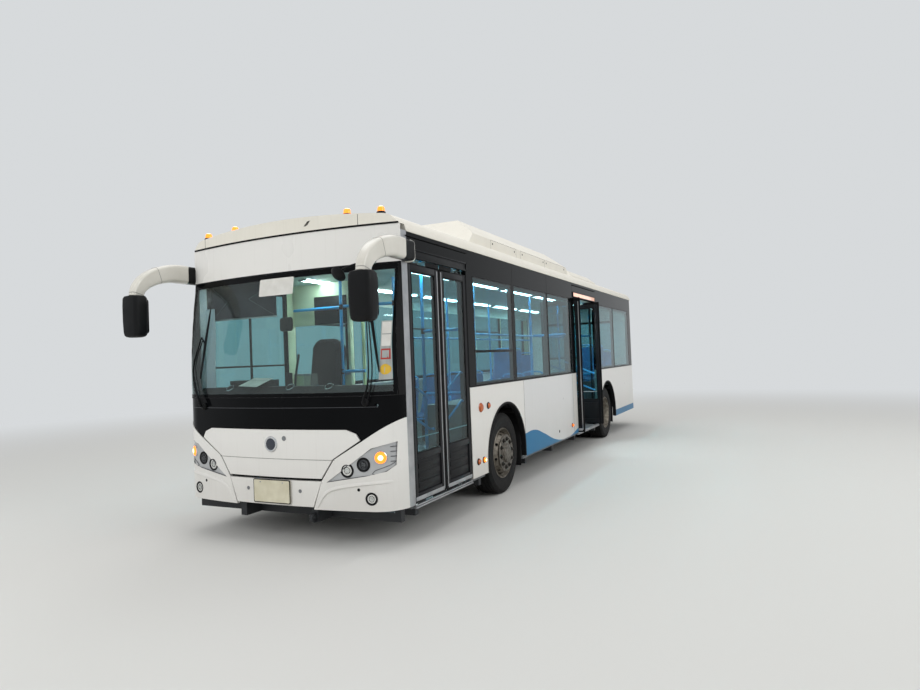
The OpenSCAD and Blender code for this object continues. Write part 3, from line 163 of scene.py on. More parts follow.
# Materials. Each entry: main colour, second colour, patch size in mm, grain size in mm, roughness low and
# high, metal share, bump in mm, coat
plainFinishes = {
    # sprayed two-pack enamel on glass fibre, matt with age: 420 mm patches, 3 mm texture
    "agedRoofEnamel": ("#DAD5C5", "#C6C0AE", 420, 3, 0.42, 0.6, 0.0, 0.10, 0.0),
    # weathered glass-fibre chip where the enamel is gone
    "agedChip": ("#55524B", "#3C3A36", 30, 2, 0.6, 0.8, 0.0, 0.2, 0.0),
    # sprayed satin powder coat on the door leaves' extruded frames
    "doorFrameEnamel": ("#131417", "#1A1B1F", 300, 1.5, 0.34, 0.5, 0.0, 0.04, 0.0),
    # pressed aluminium sheet, satin black
    "satinBlackPanel": ("#0E0F11", "#141518", 240, 1.5, 0.4, 0.56, 0.0, 0.05, 0.0),
    # moulded EPDM rubber, blooming a little grey
    "epdmRubber": ("#0D0D0E", "#151517", 90, 2, 0.6, 0.8, 0.0, 0.15, 0.0),
    # anodised aluminium extrusion, drawn
    "anodisedAluminium": ("#B9BABC", "#A2A4A7", 160, 2, 0.28, 0.42, 0.85, 0.04, 0.0),
    # frosted polyester film
    "frostedFilm": ("#DDE4E6", "#CFD6D8", 120, 1, 0.5, 0.6, 0.0, 0.0, 0.0),
    # textured ABS moulding
    "texturedAbs": ("#0A0B0C", "#101113", 120, 1.5, 0.42, 0.6, 0.0, 0.12, 0.0),
    # glossy black acrylic moulding
    "wiperBlack": ("#08090A", "#101113", 140, 1.5, 0.36, 0.52, 0.1, 0.05, 0.0),
    # powder-coated steel frame
    "powderCoatedSteel": ("#232528", "#2E3033", 200, 1.2, 0.5, 0.68, 0.2, 0.08, 0.0),
    # forged and cast steel, dull
    "castSteel": ("#3A3A3B", "#2A2826", 90, 2.5, 0.55, 0.75, 0.55, 0.3, 0.0),
    # pale laminate lining panels
    "paleLaminate": ("#CFE0D6", "#BFD2C8", 700, 1.5, 0.35, 0.5, 0.0, 0.03, 0.0),
    # pigmented vinyl floor sheet
    "vinylFloor": ("#6C6F72", "#5E6164", 300, 1.2, 0.5, 0.68, 0.0, 0.08, 0.0),
    # moulded polypropylene seat
    "blueMouldedPlastic": ("#2C6FA8", "#235C8D", 260, 1.2, 0.32, 0.48, 0.0, 0.06, 0.0),
    # blue powder-coated tube
    "blueCoatedTube": ("#2FA3E0", "#2793CE", 300, 1.0, 0.25, 0.38, 0.0, 0.05, 0.0),
    # pale green laminate on the cabin's walls
    "paleGreenPanel": ("#C3CDAF", "#B7C2A2", 600, 1.5, 0.35, 0.5, 0.0, 0.03, 0.0),
    "greyWallSheet": ("#8E9793", "#838C88", 500, 1.5, 0.45, 0.6, 0.0, 0.04, 0.0),
    # grey blackout weave of the blind, 1.2 mm threads
    "blindWeave": ("#2A2630", "#231F28", 90, 1.2, 0.75, 0.9, 0.0, 0.1, 0.0),
    # pale metallised tinsel cloth, 6 mm threads
    "tinselCloth": ("#F2F1F6", "#C6CCDA", 12, 6, 0.2, 0.4, 0.15, 0.6, 0.0),
    # pale green plastic-sleeved tube
    "paleGreenTube": ("#C9D8A6", "#BCCB98", 300, 1.0, 0.3, 0.42, 0.0, 0.04, 0.0),
    # satin silver-grey paint on the lamp panels' moulding
    "satinGreyPanel": ("#B7B9BA", "#ABADAF", 260, 1.0, 0.3, 0.42, 0.15, 0.03, 0.2),
    "satinGreyEdge": ("#5F6164", "#4C4E51", 120, 1.0, 0.45, 0.6, 0.0, 0.03, 0.0),
    # chromed brass and chromed plastic, fine wiping marks
    "chromedRing": ("#D9DADB", "#C4C6C8", 60, 0.8, 0.08, 0.16, 1.0, 0.01, 0.0),
    "chromedReflector": ("#E8E8E6", "#CFCFCC", 24, 0.8, 0.1, 0.2, 1.0, 0.08, 0.0),
    "darkReflector": ("#5B5D60", "#3A3C3F", 24, 0.8, 0.12, 0.22, 1.0, 0.08, 0.0),
    # sprayed dark blue enamel disc
    "navyEnamel": ("#2A2F3A", "#333946", 60, 1.0, 0.25, 0.35, 0.3, 0.02, 0.4),
    "lockGrey": ("#8F9193", "#777A7D", 40, 1.0, 0.35, 0.5, 0.6, 0.02, 0.0),
    "seamGrey": ("#8B8A86", "#7B7A76", 90, 1.0, 0.6, 0.7, 0.0, 0.0, 0.0),
    # raised line of the band, dulled black trim
    "bandLine": ("#3A3C40", "#2E3034", 140, 1.0, 0.28, 0.4, 0.0, 0.0, 0.0),
    # yellowish-white enamelled aluminium sheet
    "plateEnamel": ("#D8D3BC", "#CBC5AC", 120, 1.2, 0.38, 0.5, 0.0, 0.03, 0.0),
    # gloss white gel-coat of the mirror horns, yellowed slightly
    "hornEnamel": ("#DEDBD2", "#D3D0C6", 260, 1.5, 0.14, 0.24, 0.0, 0.03, 0.5),
    # woven seat cloth, 1.6 mm threads
    "seatCloth": ("#17171B", "#1E1E23", 200, 1.6, 0.8, 0.95, 0.0, 0.05, 0.0),
    # printed sticker papers, bare
    "paperWhite": ("#DCDBD6", "#D2D1CB", 90, 1.0, 0.6, 0.7, 0.0, 0.02, 0.0),
    "passGrey": ("#A9ADAB", "#9DA19F", 60, 1.0, 0.5, 0.6, 0.0, 0.02, 0.0),
    "stickerRed": ("#B23A33", "#A2342E", 60, 1.0, 0.5, 0.6, 0.0, 0.0, 0.0),
    "stickerYellow": ("#D9B23A", "#CBA433", 60, 1.0, 0.5, 0.6, 0.0, 0.0, 0.0),
    # pressed steel wheel disc, silver paint gone bronze with brake dust: 50 mm patches
    "rimPaint": ("#8B847A", "#5F594F", 50, 1.2, 0.38, 0.55, 0.75, 0.08, 0.0),
    # bare turned steel with grime, 30 mm patches
    "nutRingSteel": ("#77726A", "#56514A", 30, 1.0, 0.34, 0.5, 0.8, 0.06, 0.0),
    "nutSteel": ("#4A4743", "#34322F", 20, 1.0, 0.4, 0.55, 0.7, 0.1, 0.0),
    # unlit inside of an opening
    "deepShadow": ("#060606", "#0A0A0A", 40, 1.0, 0.9, 0.95, 0.0, 0.0, 0.0),
    # turned amber acrylic, unlit
    "amberLampDark": ("#C8601C", "#B05016", 30, 1.0, 0.12, 0.2, 0.0, 0.02, 0.6),
    "redLampDark": ("#8E1512", "#7A100E", 30, 1.0, 0.12, 0.2, 0.0, 0.02, 0.6),
    "clearLampDark": ("#C9CBCC", "#B5B8BA", 30, 1.0, 0.1, 0.18, 0.3, 0.02, 0.6),
}


def plainFinish(name):
    main, second, patch, grain, low, high, metal, bump, coat = plainFinishes[name]
    mat, tree = emptyMaterial(name)
    place = addNode(tree, "ShaderNodeTexCoord").outputs["Object"]
    patches = addNode(tree, "ShaderNodeTexNoise", {"Vector": place, "Scale": 1000 / patch, "Detail": 4.0})
    spread = addNode(tree, "ShaderNodeMapRange", {"Value": patches.outputs[0], "From Min": 0.35, "From Max": 0.65})
    colour = addNode(tree, "ShaderNodeMix", {0: spread.outputs[0], 6: linearColour(main), 7: linearColour(second)},
                     data_type="RGBA")
    gloss = addNode(tree, "ShaderNodeMapRange", {"Value": patches.outputs[0], "From Min": 0.3, "From Max": 0.7,
                                                 "To Min": low, "To Max": high})
    feeds = {"Base Color": colour.outputs[2], "Roughness": gloss.outputs[0], "Metallic": metal}
    if metal < 0.15 and max(linearColour(main)[:3]) < 0.02:  # blacks: weak mirror of the pale studio
        feeds["Specular IOR Level"] = 0.2
    if coat:
        feeds["Coat Weight"] = coat
        feeds["Coat Roughness"] = 0.04
    if bump:
        grains = addNode(tree, "ShaderNodeTexNoise", {"Vector": place, "Scale": 1000 / grain, "Detail": 2.0})
        relief = addNode(tree, "ShaderNodeBump", {"Height": grains.outputs[0], "Strength": 0.5,
                                                  "Distance": bump / 1000})
        feeds["Normal"] = relief.outputs[0]
    shader = addNode(tree, "ShaderNodeBsdfPrincipled", feeds)
    return finishMaterial(mat, tree, shader.outputs[0])


def blackLacquer():
    # black glass and gloss lacquer: 600 mm patches of fine dust over a very dark, smooth face
    mat, tree = emptyMaterial("blackGlossLacquer")
    place = addNode(tree, "ShaderNodeTexCoord").outputs["Object"]
    dust = addNode(tree, "ShaderNodeTexNoise", {"Vector": place, "Scale": 1.7, "Detail": 6.0})
    colour = addNode(tree, "ShaderNodeMix", {0: dust.outputs[0], 6: linearColour("#040506"),
                                             7: linearColour("#0D0E10")}, data_type="RGBA")
    gloss = addNode(tree, "ShaderNodeMapRange", {"Value": dust.outputs[0], "From Min": 0.3, "From Max": 0.7,
                                                 "To Min": 0.05, "To Max": 0.16})
    shader = addNode(tree, "ShaderNodeBsdfPrincipled", {"Base Color": colour.outputs[2],
                                                        "Roughness": gloss.outputs[0], "Specular IOR Level": 0.25, "IOR": 1.25})
    return finishMaterial(mat, tree, shader.outputs[0])


def tyreRubber():
    # vulcanised rubber: cross sipes in the tread every 3.2 degrees (27 mm), their cuts painted near-black as shade,
    # dust in the sidewall's 40 mm patches
    mat, tree = emptyMaterial("tyreRubber")
    place = addNode(tree, "ShaderNodeTexCoord").outputs["Object"]
    axes = addNode(tree, "ShaderNodeSeparateXYZ", {0: place})
    front = addNode(tree, "ShaderNodeMath", {0: axes.outputs[1], 1: 0.0}, operation="LESS_THAN")
    middle = addNode(tree, "ShaderNodeMath", {0: front.outputs[0], 1: -5.25, 2: 2.89}, operation="MULTIPLY_ADD")
    along = addNode(tree, "ShaderNodeMath", {0: axes.outputs[1], 1: middle.outputs[0]}, operation="SUBTRACT")
    high = addNode(tree, "ShaderNodeMath", {0: axes.outputs[2], 1: 0.478}, operation="SUBTRACT")
    turn = addNode(tree, "ShaderNodeMath", {0: high.outputs[0], 1: along.outputs[0]}, operation="ARCTAN2")
    flat = addNode(tree, "ShaderNodeCombineXYZ", {0: along.outputs[0], 1: high.outputs[0]})
    reach = addNode(tree, "ShaderNodeVectorMath", {0: flat.outputs[0]}, operation="LENGTH")
    skew = addNode(tree, "ShaderNodeMath", {0: axes.outputs[0], 1: 2.0, 2: turn.outputs[0]},
                   operation="MULTIPLY_ADD")
    waves = addNode(tree, "ShaderNodeMath", {0: skew.outputs[0], 1: 112.0}, operation="MULTIPLY")
    sine = addNode(tree, "ShaderNodeMath", {0: waves.outputs[0]}, operation="SINE")
    cut = addNode(tree, "ShaderNodeMapRange", {"Value": sine.outputs[0], "From Min": 0.55, "From Max": 0.8,
                                               "To Min": 1.0, "To Max": 0.0})
    outer = addNode(tree, "ShaderNodeMath", {0: reach.outputs["Value"], 1: 0.446}, operation="GREATER_THAN")
    smooth = addNode(tree, "ShaderNodeMath", {0: 1.0, 1: outer.outputs[0]}, operation="SUBTRACT")
    height = addNode(tree, "ShaderNodeMath", {0: cut.outputs[0], 1: smooth.outputs[0]}, operation="MAXIMUM")
    relief = addNode(tree, "ShaderNodeBump", {"Height": height.outputs[0], "Strength": 1.0, "Distance": 0.006})
    patches = addNode(tree, "ShaderNodeTexNoise", {"Vector": place, "Scale": 25.0, "Detail": 5.0})
    dust = addNode(tree, "ShaderNodeMapRange", {"Value": patches.outputs[0], "From Min": 0.42, "From Max": 0.75,
                                                "To Max": 0.5})
    base = addNode(tree, "ShaderNodeMix", {0: dust.outputs[0], 6: linearColour("#0E0E0F"),
                                           7: linearColour("#2A2723")}, data_type="RGBA")
    # painted shade: the sipes' cuts are coloured near-black (#050505), darker than the rubber around them
    colour = addNode(tree, "ShaderNodeMix", {0: height.outputs[0], 6: linearColour("#050505"), 7: base.outputs[2]},
                     data_type="RGBA")
    shader = addNode(tree, "ShaderNodeBsdfPrincipled", {"Base Color": colour.outputs[2], "Roughness": 0.72,
                                                        "Specular IOR Level": 0.25, "Normal": relief.outputs[0]})
    return finishMaterial(mat, tree, shader.outputs[0])


def lampGlow(name, colour, power):  # lit acrylic lens: a glowing body under a clear, glossy face
    mat, tree = emptyMaterial(name)
    shader = addNode(tree, "ShaderNodeBsdfPrincipled", {
        "Base Color": linearColour(colour), "Roughness": 0.18, "Coat Weight": 0.5,
        "Emission Color": linearColour(colour), "Emission Strength": power})
    return finishMaterial(mat, tree, shader.outputs[0])


def tintedGlass(name, tint, gloss=0.02, dust=0.0):
    # float glass: clear with a body tint; the mirrored share grows towards a glancing view
    mat, tree = emptyMaterial(name)
    clear = addNode(tree, "ShaderNodeBsdfTransparent", {"Color": linearColour(tint)})
    shine = addNode(tree, "ShaderNodeBsdfGlossy", {"Color": (1, 1, 1, 1), "Roughness": gloss})
    facing = addNode(tree, "ShaderNodeLayerWeight", {"Blend": 0.5})
    steep = addNode(tree, "ShaderNodeMath", {0: facing.outputs["Facing"], 1: 6.0}, operation="POWER")
    share = addNode(tree, "ShaderNodeMath", {0: steep.outputs[0], 1: 0.9, 2: 0.035}, operation="MULTIPLY_ADD")
    mix = addNode(tree, "ShaderNodeMixShader", {0: share.outputs[0], 1: clear.outputs[0], 2: shine.outputs[0]})
    if dust:  # dry film of dust, thicker low down in 300 mm patches
        place = addNode(tree, "ShaderNodeTexCoord").outputs["Object"]
        patches = addNode(tree, "ShaderNodeTexNoise", {"Vector": place, "Scale": 3.3, "Detail": 5.0})
        amount = addNode(tree, "ShaderNodeMapRange", {"Value": patches.outputs[0], "From Min": 0.35,
                                                      "From Max": 0.8, "To Max": dust})
        film = addNode(tree, "ShaderNodeBsdfDiffuse", {"Color": linearColour("#C9C5BB")})
        mix = addNode(tree, "ShaderNodeMixShader", {0: amount.outputs[0], 1: mix.outputs[0], 2: film.outputs[0]})
    return finishMaterial(mat, tree, mix.outputs[0])


def bodyEnamel(name, main, grime, wave=False):
    # sprayed white enamel: 6 mm orange peel, road film rising from the foot, thin runs of rain dirt
    mat, tree = emptyMaterial(name)
    place = addNode(tree, "ShaderNodeTexCoord").outputs["Object"]
    axes = addNode(tree, "ShaderNodeSeparateXYZ", {0: place})
    patches = addNode(tree, "ShaderNodeTexNoise", {"Vector": place, "Scale": 1.6, "Detail": 3.0})
    peel = addNode(tree, "ShaderNodeTexNoise", {"Vector": place, "Scale": 160.0, "Detail": 1.0})
    low = addNode(tree, "ShaderNodeMapRange", {"Value": axes.outputs[2], "From Min": 0.95, "From Max": 0.33})
    film = addNode(tree, "ShaderNodeMath", {0: low.outputs[0], 1: patches.outputs[0]}, operation="MULTIPLY")
    thin = addNode(tree, "ShaderNodeVectorMath", {0: place, 1: (42.0, 42.0, 1.3)}, operation="MULTIPLY")
    runs = addNode(tree, "ShaderNodeTexNoise", {"Vector": thin.outputs[0], "Scale": 1.0, "Detail": 3.0})
    streak = addNode(tree, "ShaderNodeMapRange", {"Value": runs.outputs[0], "From Min": 0.58, "From Max": 0.8,
                                                  "To Max": 0.07})
    film = addNode(tree, "ShaderNodeMath", {0: film.outputs[0], 1: 0.42, 2: streak.outputs[0]},
                   operation="MULTIPLY_ADD", use_clamp=True)
    base, coat, mirror = linearColour(main), 0.35, 0.5
    if wave:  # the skirt's wrap: a slightly greyer film from one joint to the next, then the blue wave on it
        start = addNode(tree, "ShaderNodeMath", {0: axes.outputs[1], 1: -1.745}, operation="GREATER_THAN")
        stop = addNode(tree, "ShaderNodeMath", {0: axes.outputs[1], 1: 0.5}, operation="LESS_THAN")
        inside = addNode(tree, "ShaderNodeMath", {0: start.outputs[0], 1: stop.outputs[0]}, operation="MULTIPLY")
        base = addNode(tree, "ShaderNodeMix", {0: inside.outputs[0], 6: base, 7: linearColour("#D9D9D8")},
                       data_type="RGBA").outputs[2]
        along = addNode(tree, "ShaderNodeMapRange", {"Value": axes.outputs[1], "From Min": -2.0, "From Max": 1.0})
        curve = addNode(tree, "ShaderNodeFloatCurve", {"Value": along.outputs[0]})
        points = [(0.0, 0.60), (0.095, 0.635), (0.2, 0.642), (0.33, 0.55), (0.49, 0.409), (0.62, 0.351),
                  (0.75, 0.352), (0.89, 0.418), (1.0, 0.47)]
        line = curve.mapping.curves[0]
        line.points[0].location = points[0]
        line.points[1].location = points[-1]
        for point in points[1:-1]:
            line.points.new(*point)
        curve.mapping.update()
        below = addNode(tree, "ShaderNodeMath", {0: curve.outputs[0], 1: axes.outputs[2]}, operation="GREATER_THAN")
        band = addNode(tree, "ShaderNodeMath", {0: below.outputs[0], 1: start.outputs[0]}, operation="MULTIPLY")
        base = addNode(tree, "ShaderNodeMix", {0: band.outputs[0], 6: base, 7: linearColour("#15709E")},
                       data_type="RGBA").outputs[2]
        clean = addNode(tree, "ShaderNodeMath", {0: band.outputs[0], 1: -0.75, 2: 1.0}, operation="MULTIPLY_ADD")
        film = addNode(tree, "ShaderNodeMath", {0: film.outputs[0], 1: clean.outputs[0]}, operation="MULTIPLY")
        # the blue film is satin: no lacquer over it and a weak mirror
        coat = addNode(tree, "ShaderNodeMath", {0: band.outputs[0], 1: -0.35, 2: 0.35}, operation="MULTIPLY_ADD").outputs[0]
        mirror = addNode(tree, "ShaderNodeMath", {0: band.outputs[0], 1: -0.4, 2: 0.5}, operation="MULTIPLY_ADD").outputs[0]
    colour = addNode(tree, "ShaderNodeMix", {0: film.outputs[0], 6: base, 7: linearColour(grime)},
                     data_type="RGBA")
    gloss = addNode(tree, "ShaderNodeMapRange", {"Value": patches.outputs[0], "From Min": 0.3, "From Max": 0.7,
                                                 "To Min": 0.27, "To Max": 0.3})
    relief = addNode(tree, "ShaderNodeBump", {"Height": peel.outputs[0], "Strength": 0.15, "Distance": 0.0001})
    shader = addNode(tree, "ShaderNodeBsdfPrincipled", {
        "Base Color": colour.outputs[2], "Roughness": gloss.outputs[0], "Normal": relief.outputs[0],
        "Specular IOR Level": mirror, "Coat Weight": coat, "Coat Roughness": 0.05})
    return finishMaterial(mat, tree, shader.outputs[0])


def roofEnamel():
    # cream enamel left outdoors: 420 mm patches, dark runs under the edges 25 mm apart, chalked surface
    mat, tree = emptyMaterial("chalkedRoofEnamel")
    place = addNode(tree, "ShaderNodeTexCoord").outputs["Object"]
    patches = addNode(tree, "ShaderNodeTexNoise", {"Vector": place, "Scale": 2.4, "Detail": 6.0})
    thin = addNode(tree, "ShaderNodeVectorMath", {0: place, 1: (34.0, 34.0, 2.0)}, operation="MULTIPLY")
    runs = addNode(tree, "ShaderNodeTexNoise", {"Vector": thin.outputs[0], "Scale": 1.0, "Detail": 4.0})
    streak = addNode(tree, "ShaderNodeMapRange", {"Value": runs.outputs[0], "From Min": 0.52, "From Max": 0.78,
                                                  "To Max": 0.06})
    tone = addNode(tree, "ShaderNodeMix", {0: patches.outputs[0], 6: linearColour("#ECE9DF"),
                                           7: linearColour("#E0DCD0")}, data_type="RGBA")
    colour = addNode(tree, "ShaderNodeMix", {0: streak.outputs[0], 6: tone.outputs[2],
                                             7: linearColour("#8D8674")}, data_type="RGBA")
    grain = addNode(tree, "ShaderNodeTexNoise", {"Vector": place, "Scale": 330.0, "Detail": 2.0})
    relief = addNode(tree, "ShaderNodeBump", {"Height": grain.outputs[0], "Strength": 0.4, "Distance": 0.0001})
    shader = addNode(tree, "ShaderNodeBsdfPrincipled", {"Base Color": colour.outputs[2], "Roughness": 0.52,
                                                        "Normal": relief.outputs[0]})
    return finishMaterial(mat, tree, shader.outputs[0])


finishes = {name: plainFinish(name) for name in plainFinishes}
finishes["blackGlossLacquer"] = blackLacquer()
finishes["agedRoofEnamel"] = roofEnamel()
finishes["whiteEnamel"] = bodyEnamel("whiteEnamel", "#E6E5E1", "#8F8578")
finishes["waveEnamel"] = bodyEnamel("waveEnamel", "#E3E1DC", "#8F8578", wave=True)
finishes["laminatedGlass"] = tintedGlass("laminatedGlass", "#E6F2F1", dust=0.02)
finishes["tintedSideGlass"] = tintedGlass("tintedSideGlass", "#BEDADE", dust=0.02)
finishes["lampLens"] = tintedGlass("lampLens", "#F2F4F4")
finishes["mirrorGlass"] = tintedGlass("mirrorGlass", "#3A3F42")
finishes["amberLampLit"] = lampGlow("amberLampLit", "#FF7418", 1.2)
finishes["amberLampBright"] = lampGlow("amberLampBright", "#FF8420", 1.5)
finishes["tubeGlow"] = lampGlow("tubeGlow", "#EAF4F6", 38.0)
finishes["lampCore"] = lampGlow("lampCore", "#FFE2A8", 2.4)
finishes["warmTubeGlow"] = lampGlow("warmTubeGlow", "#E8B8A2", 0.9)
finishes["clearSheet"] = tintedGlass("clearSheet", "#E8EAEA", dust=0.2)
finishes["tyreRubber"] = tyreRubber()

nodeFinish = {
    "roof_shell": "agedRoofEnamel", "roof_pod": "agedRoofEnamel", "rear_roof_unit": "agedRoofEnamel",
    "window_band_near": "blackGlossLacquer", "window_band_off": "blackGlossLacquer",
    "skirt_near": "waveEnamel", "skirt_off": "whiteEnamel", "corner_posts": "anodisedAluminium",
    "front_bumper": "whiteEnamel", "front_band": "blackGlossLacquer", "screen_frame": "blackGlossLacquer",
    "destination_panel": "whiteEnamel", "windscreen": "laminatedGlass", "front_plate": "plateEnamel",
    "front_lamps": "satinGreyPanel", "marker_lamps": "texturedAbs", "side_lamps": "texturedAbs",
    "mirror_arms": "hornEnamel", "mirror_heads": "texturedAbs", "wipers": "wiperBlack",
    "side_glass": "tintedSideGlass", "rear_panel": "whiteEnamel", "rear_window": "tintedSideGlass",
    "rear_lamps": "texturedAbs", "floor": "vinylFloor", "rear_floor": "vinylFloor", "engine_deck": "vinylFloor",
    "wheel_boxes": "vinylFloor", "driver_platform": "vinylFloor", "chassis": "powderCoatedSteel",
    "cross_members": "powderCoatedSteel", "engine": "castSteel",
    "front_axle": "castSteel", "rear_axle": "castSteel", "dashboard": "texturedAbs",
    "steering_wheel": "texturedAbs", "driver_seat": "seatCloth", "partition": "paleGreenPanel",
    "passenger_seats": "blueMouldedPlastic", "handrails": "blueCoatedTube", "ceiling": "paleLaminate",
    "sun_blind": "seatCloth", "front_flap": "whiteEnamel", "engine_lid": "whiteEnamel",
    "knuckle_left": "castSteel", "knuckle_right": "castSteel", "tie_rod": "castSteel",
    "front_wheel_left": "epdmRubber", "front_wheel_right": "epdmRubber", "rear_wheel_left": "epdmRubber",
    "rear_wheel_right": "epdmRubber", "front_door_arm_a": "powderCoatedSteel",
    "front_door_arm_b": "powderCoatedSteel", "mid_door_arm_a": "powderCoatedSteel",
    "mid_door_arm_b": "powderCoatedSteel", "front_door_leaf_a": "doorFrameEnamel",
    "front_door_leaf_b": "doorFrameEnamel", "mid_door_leaf_a": "doorFrameEnamel",
    "mid_door_leaf_b": "doorFrameEnamel",
}
for nodeName, finishName in nodeFinish.items():
    node = cadNodes[nodeName]
    for i in range(len(node.material_slots)):
        node.material_slots[i].material = finishes[finishName]
print("materials set on", len(nodeFinish), "nodes, left plain:", sorted(set(cadNodes) - set(nodeFinish)))


# shared sizes of the body, in metres
frontY, halfW, noseR, cornerR, noseReach = -4.7, 1.25, 5.8, 0.28, 0.33
cornerDrop = noseR - math.sqrt((noseR - cornerR) ** 2 - (halfW - cornerR) ** 2)
turnAngle = math.asin((halfW - cornerR) / (noseR - cornerR))
rake, screenZ = math.radians(9.3), 1.34
destReach = noseReach - 1.17 * math.tan(rake)
wheelZ, frontAxleY, rearAxleY = 0.478, -2.36, 2.89


def nosePlan(x, z=0.0, proud=0.0):
    # depth of the nose: the crown's arc out to the tangent point, then the corner's arc, then the flat side
    x = np.abs(np.asarray(x, float))
    split = (noseR + proud) * math.sin(turnAngle)
    crown = noseR - np.sqrt((noseR + proud) ** 2 - np.minimum(x, split) ** 2)
    rest = np.clip((cornerR + proud) ** 2 - np.maximum(x - (halfW - cornerR), 0) ** 2, 0, None)
    return frontY - noseReach + np.where(x <= split, crown, cornerDrop - np.sqrt(rest))


def screenPlan(x, z, proud=0.0):
    # depth of the leaning windscreen: an arc in the leaning plane, turned back by the rake
    lean = noseR - np.sqrt((noseR + proud) ** 2 - np.asarray(x, float) ** 2)
    up = (np.asarray(z, float) - screenZ + lean * math.sin(rake)) / math.cos(rake)
    return frontY - noseReach + lean * math.cos(rake) + up * math.sin(rake)


def destPlan(x, z=0.0, proud=0.0):
    # depth of the upright panel above the windscreen
    return frontY - destReach + noseR - np.sqrt((noseR + proud) ** 2 - np.asarray(x, float) ** 2)


def wrapPlan(x, z, proud=0.0):
    # the screen's outer face: the leaning crown or the upright corner, whichever lies further back, eased by 8 mm
    a, b = nosePlan(x, z, proud), screenPlan(x, z, proud)
    return (a + b + np.sqrt((a - b) ** 2 + 6.4e-5)) / 2


# builders: each gives points and faces
def boxShell(x0, x1, y0, y1, z0, z1, soft=0.0, steps=2):
    # a block between two corners, its edges rounded by a bevel of the given width
    bm = bmesh.new()
    size = Vector((x1 - x0, y1 - y0, z1 - z0))
    bmesh.ops.create_cube(bm, size=1.0, matrix=Matrix.LocRotScale(((x0 + x1) / 2, (y0 + y1) / 2, (z0 + z1) / 2), None, size))
    if soft:
        soft = min(soft, 0.45 * min(size))
        bmesh.ops.bevel(bm, geom=bm.edges[:], offset=soft, segments=steps, profile=0.5, affect="EDGES")
    return takeMesh(bm)


def column(data, key, width, kind):  # one value of a mesh's items, read as an array
    out = np.empty(len(data) * width, kind)
    data.foreach_get(key, out)
    return out.reshape(-1, width) if width > 1 else out


def readMesh(bm):
    # points, faces, and the rim: the edges that only one face uses
    mesh = bpy.data.meshes.new("scratch")
    bm.to_mesh(mesh)
    bm.free()
    corners, starts = column(mesh.loops, "vertex_index", 1, np.int32), column(mesh.polygons, "loop_start", 1, np.int32)
    used = np.bincount(column(mesh.loops, "edge_index", 1, np.int32), minlength=len(mesh.edges))
    rim = column(mesh.edges, "vertices", 2, np.int32)[used == 1]
    points = column(mesh.vertices, "co", 3, np.float32).astype(float)
    bpy.data.meshes.remove(mesh)
    return points, [f.tolist() for f in np.split(corners, starts[1:])], rim


def toBmesh(points, faces):
    mesh = bpy.data.meshes.new("scratch")
    mesh.from_pydata(np.asarray(points).tolist(), [], faces)
    bm = bmesh.new()
    bm.from_mesh(mesh)
    bpy.data.meshes.remove(mesh)
    return bm


def takeMesh(bm):
    return readMesh(bm)[:2]


def moved(shell, matrix):  # points through a 4 by 4 matrix
    points = shell[0] @ matrix[:3, :3].T + matrix[:3, 3]
    faces = shell[1] if np.linalg.det(matrix[:3, :3]) > 0 else [f[::-1] for f in shell[1]]
    return points, faces


def placed(origin, xAxis=(1, 0, 0), yAxis=(0, 1, 0), zAxis=(0, 0, 1)):
    m = np.eye(4)
    m[:3, 0], m[:3, 1], m[:3, 2], m[:3, 3] = xAxis, yAxis, zAxis, origin
    return m


mirrorX = np.diag([-1.0, 1.0, 1.0, 1.0])


def bothSides(shells):
    return shells + [(*moved(s[:2], mirrorX), *s[2:]) for s in shells]


def loft(rings, closed=False, caps=True):
    # rings of equal count joined by quads; the ends are closed by one face each
    rings = np.asarray(rings, float)
    n, m = rings.shape[:2]
    a = np.arange(n if closed else n - 1)[:, None] * m
    b, j = (a + m) % (n * m), np.arange(m)[None, :]
    after = (j + 1) % m
    faces = np.stack([a + j, a + after, b + after, b + j], axis=-1).reshape(-1, 4).tolist()
    if caps and not closed:
        faces += [list(range(m))[::-1], list(range((n - 1) * m, n * m))]
    return rings.reshape(-1, 3), faces


def lathe(profile, origin, axis, steps=40):
    # (radius, height) pairs turned about an axis
    axis = np.array(axis, float) / np.linalg.norm(axis)
    side = np.cross(axis, [0.0, 0.0, 1.0] if abs(axis[2]) < 0.9 else [1.0, 0.0, 0.0])
    side /= np.linalg.norm(side)
    other = np.cross(axis, side)
    turns = np.linspace(0, 2 * math.pi, steps + 1)[:-1]
    circle = np.cos(turns)[:, None] * side + np.sin(turns)[:, None] * other
    rings = [np.array(origin) + axis * h + circle * max(r, 1e-5) for r, h in profile]
    return loft(rings)


def sweep(path, radius, steps=12, flat=1.0):
    # a round section carried along a path, its frame turned as little as it can be
    path = np.asarray(path, float)
    along = np.gradient(path, axis=0)
    along /= np.linalg.norm(along, axis=1)[:, None]
    side = np.cross(along[0], [0.0, 0.0, 1.0] if abs(along[0][2]) < 0.9 else [1.0, 0.0, 0.0])
    radii = np.broadcast_to(np.asarray(radius, float), (len(path),))
    turns = np.linspace(0, 2 * math.pi, steps + 1)[:-1]
    rings = []
    for point, ahead, r in zip(path, along, radii):
        side = side - ahead * np.dot(side, ahead)
        side /= np.linalg.norm(side)
        other = np.cross(ahead, side)
        rings.append(point + r * (np.cos(turns)[:, None] * side + flat * np.sin(turns)[:, None] * other))
    return loft(rings)


def curved(points, count=8):  # a smooth run through corner points (Catmull-Rom)
    p = np.asarray(points, float)
    p = np.vstack([2 * p[0] - p[1], p, 2 * p[-1] - p[-2]])
    u = np.linspace(0, 1, count + 1)[:-1, None]
    parts = [0.5 * (2 * p[i] + (p[i + 1] - p[i - 1]) * u + (2 * p[i - 1] - 5 * p[i] + 4 * p[i + 1] - p[i + 2]) * u ** 2
                    + (3 * p[i] - p[i - 1] - 3 * p[i + 1] + p[i + 2]) * u ** 3) for i in range(1, len(p) - 2)]
    return np.vstack(parts + [p[-2:-1]])


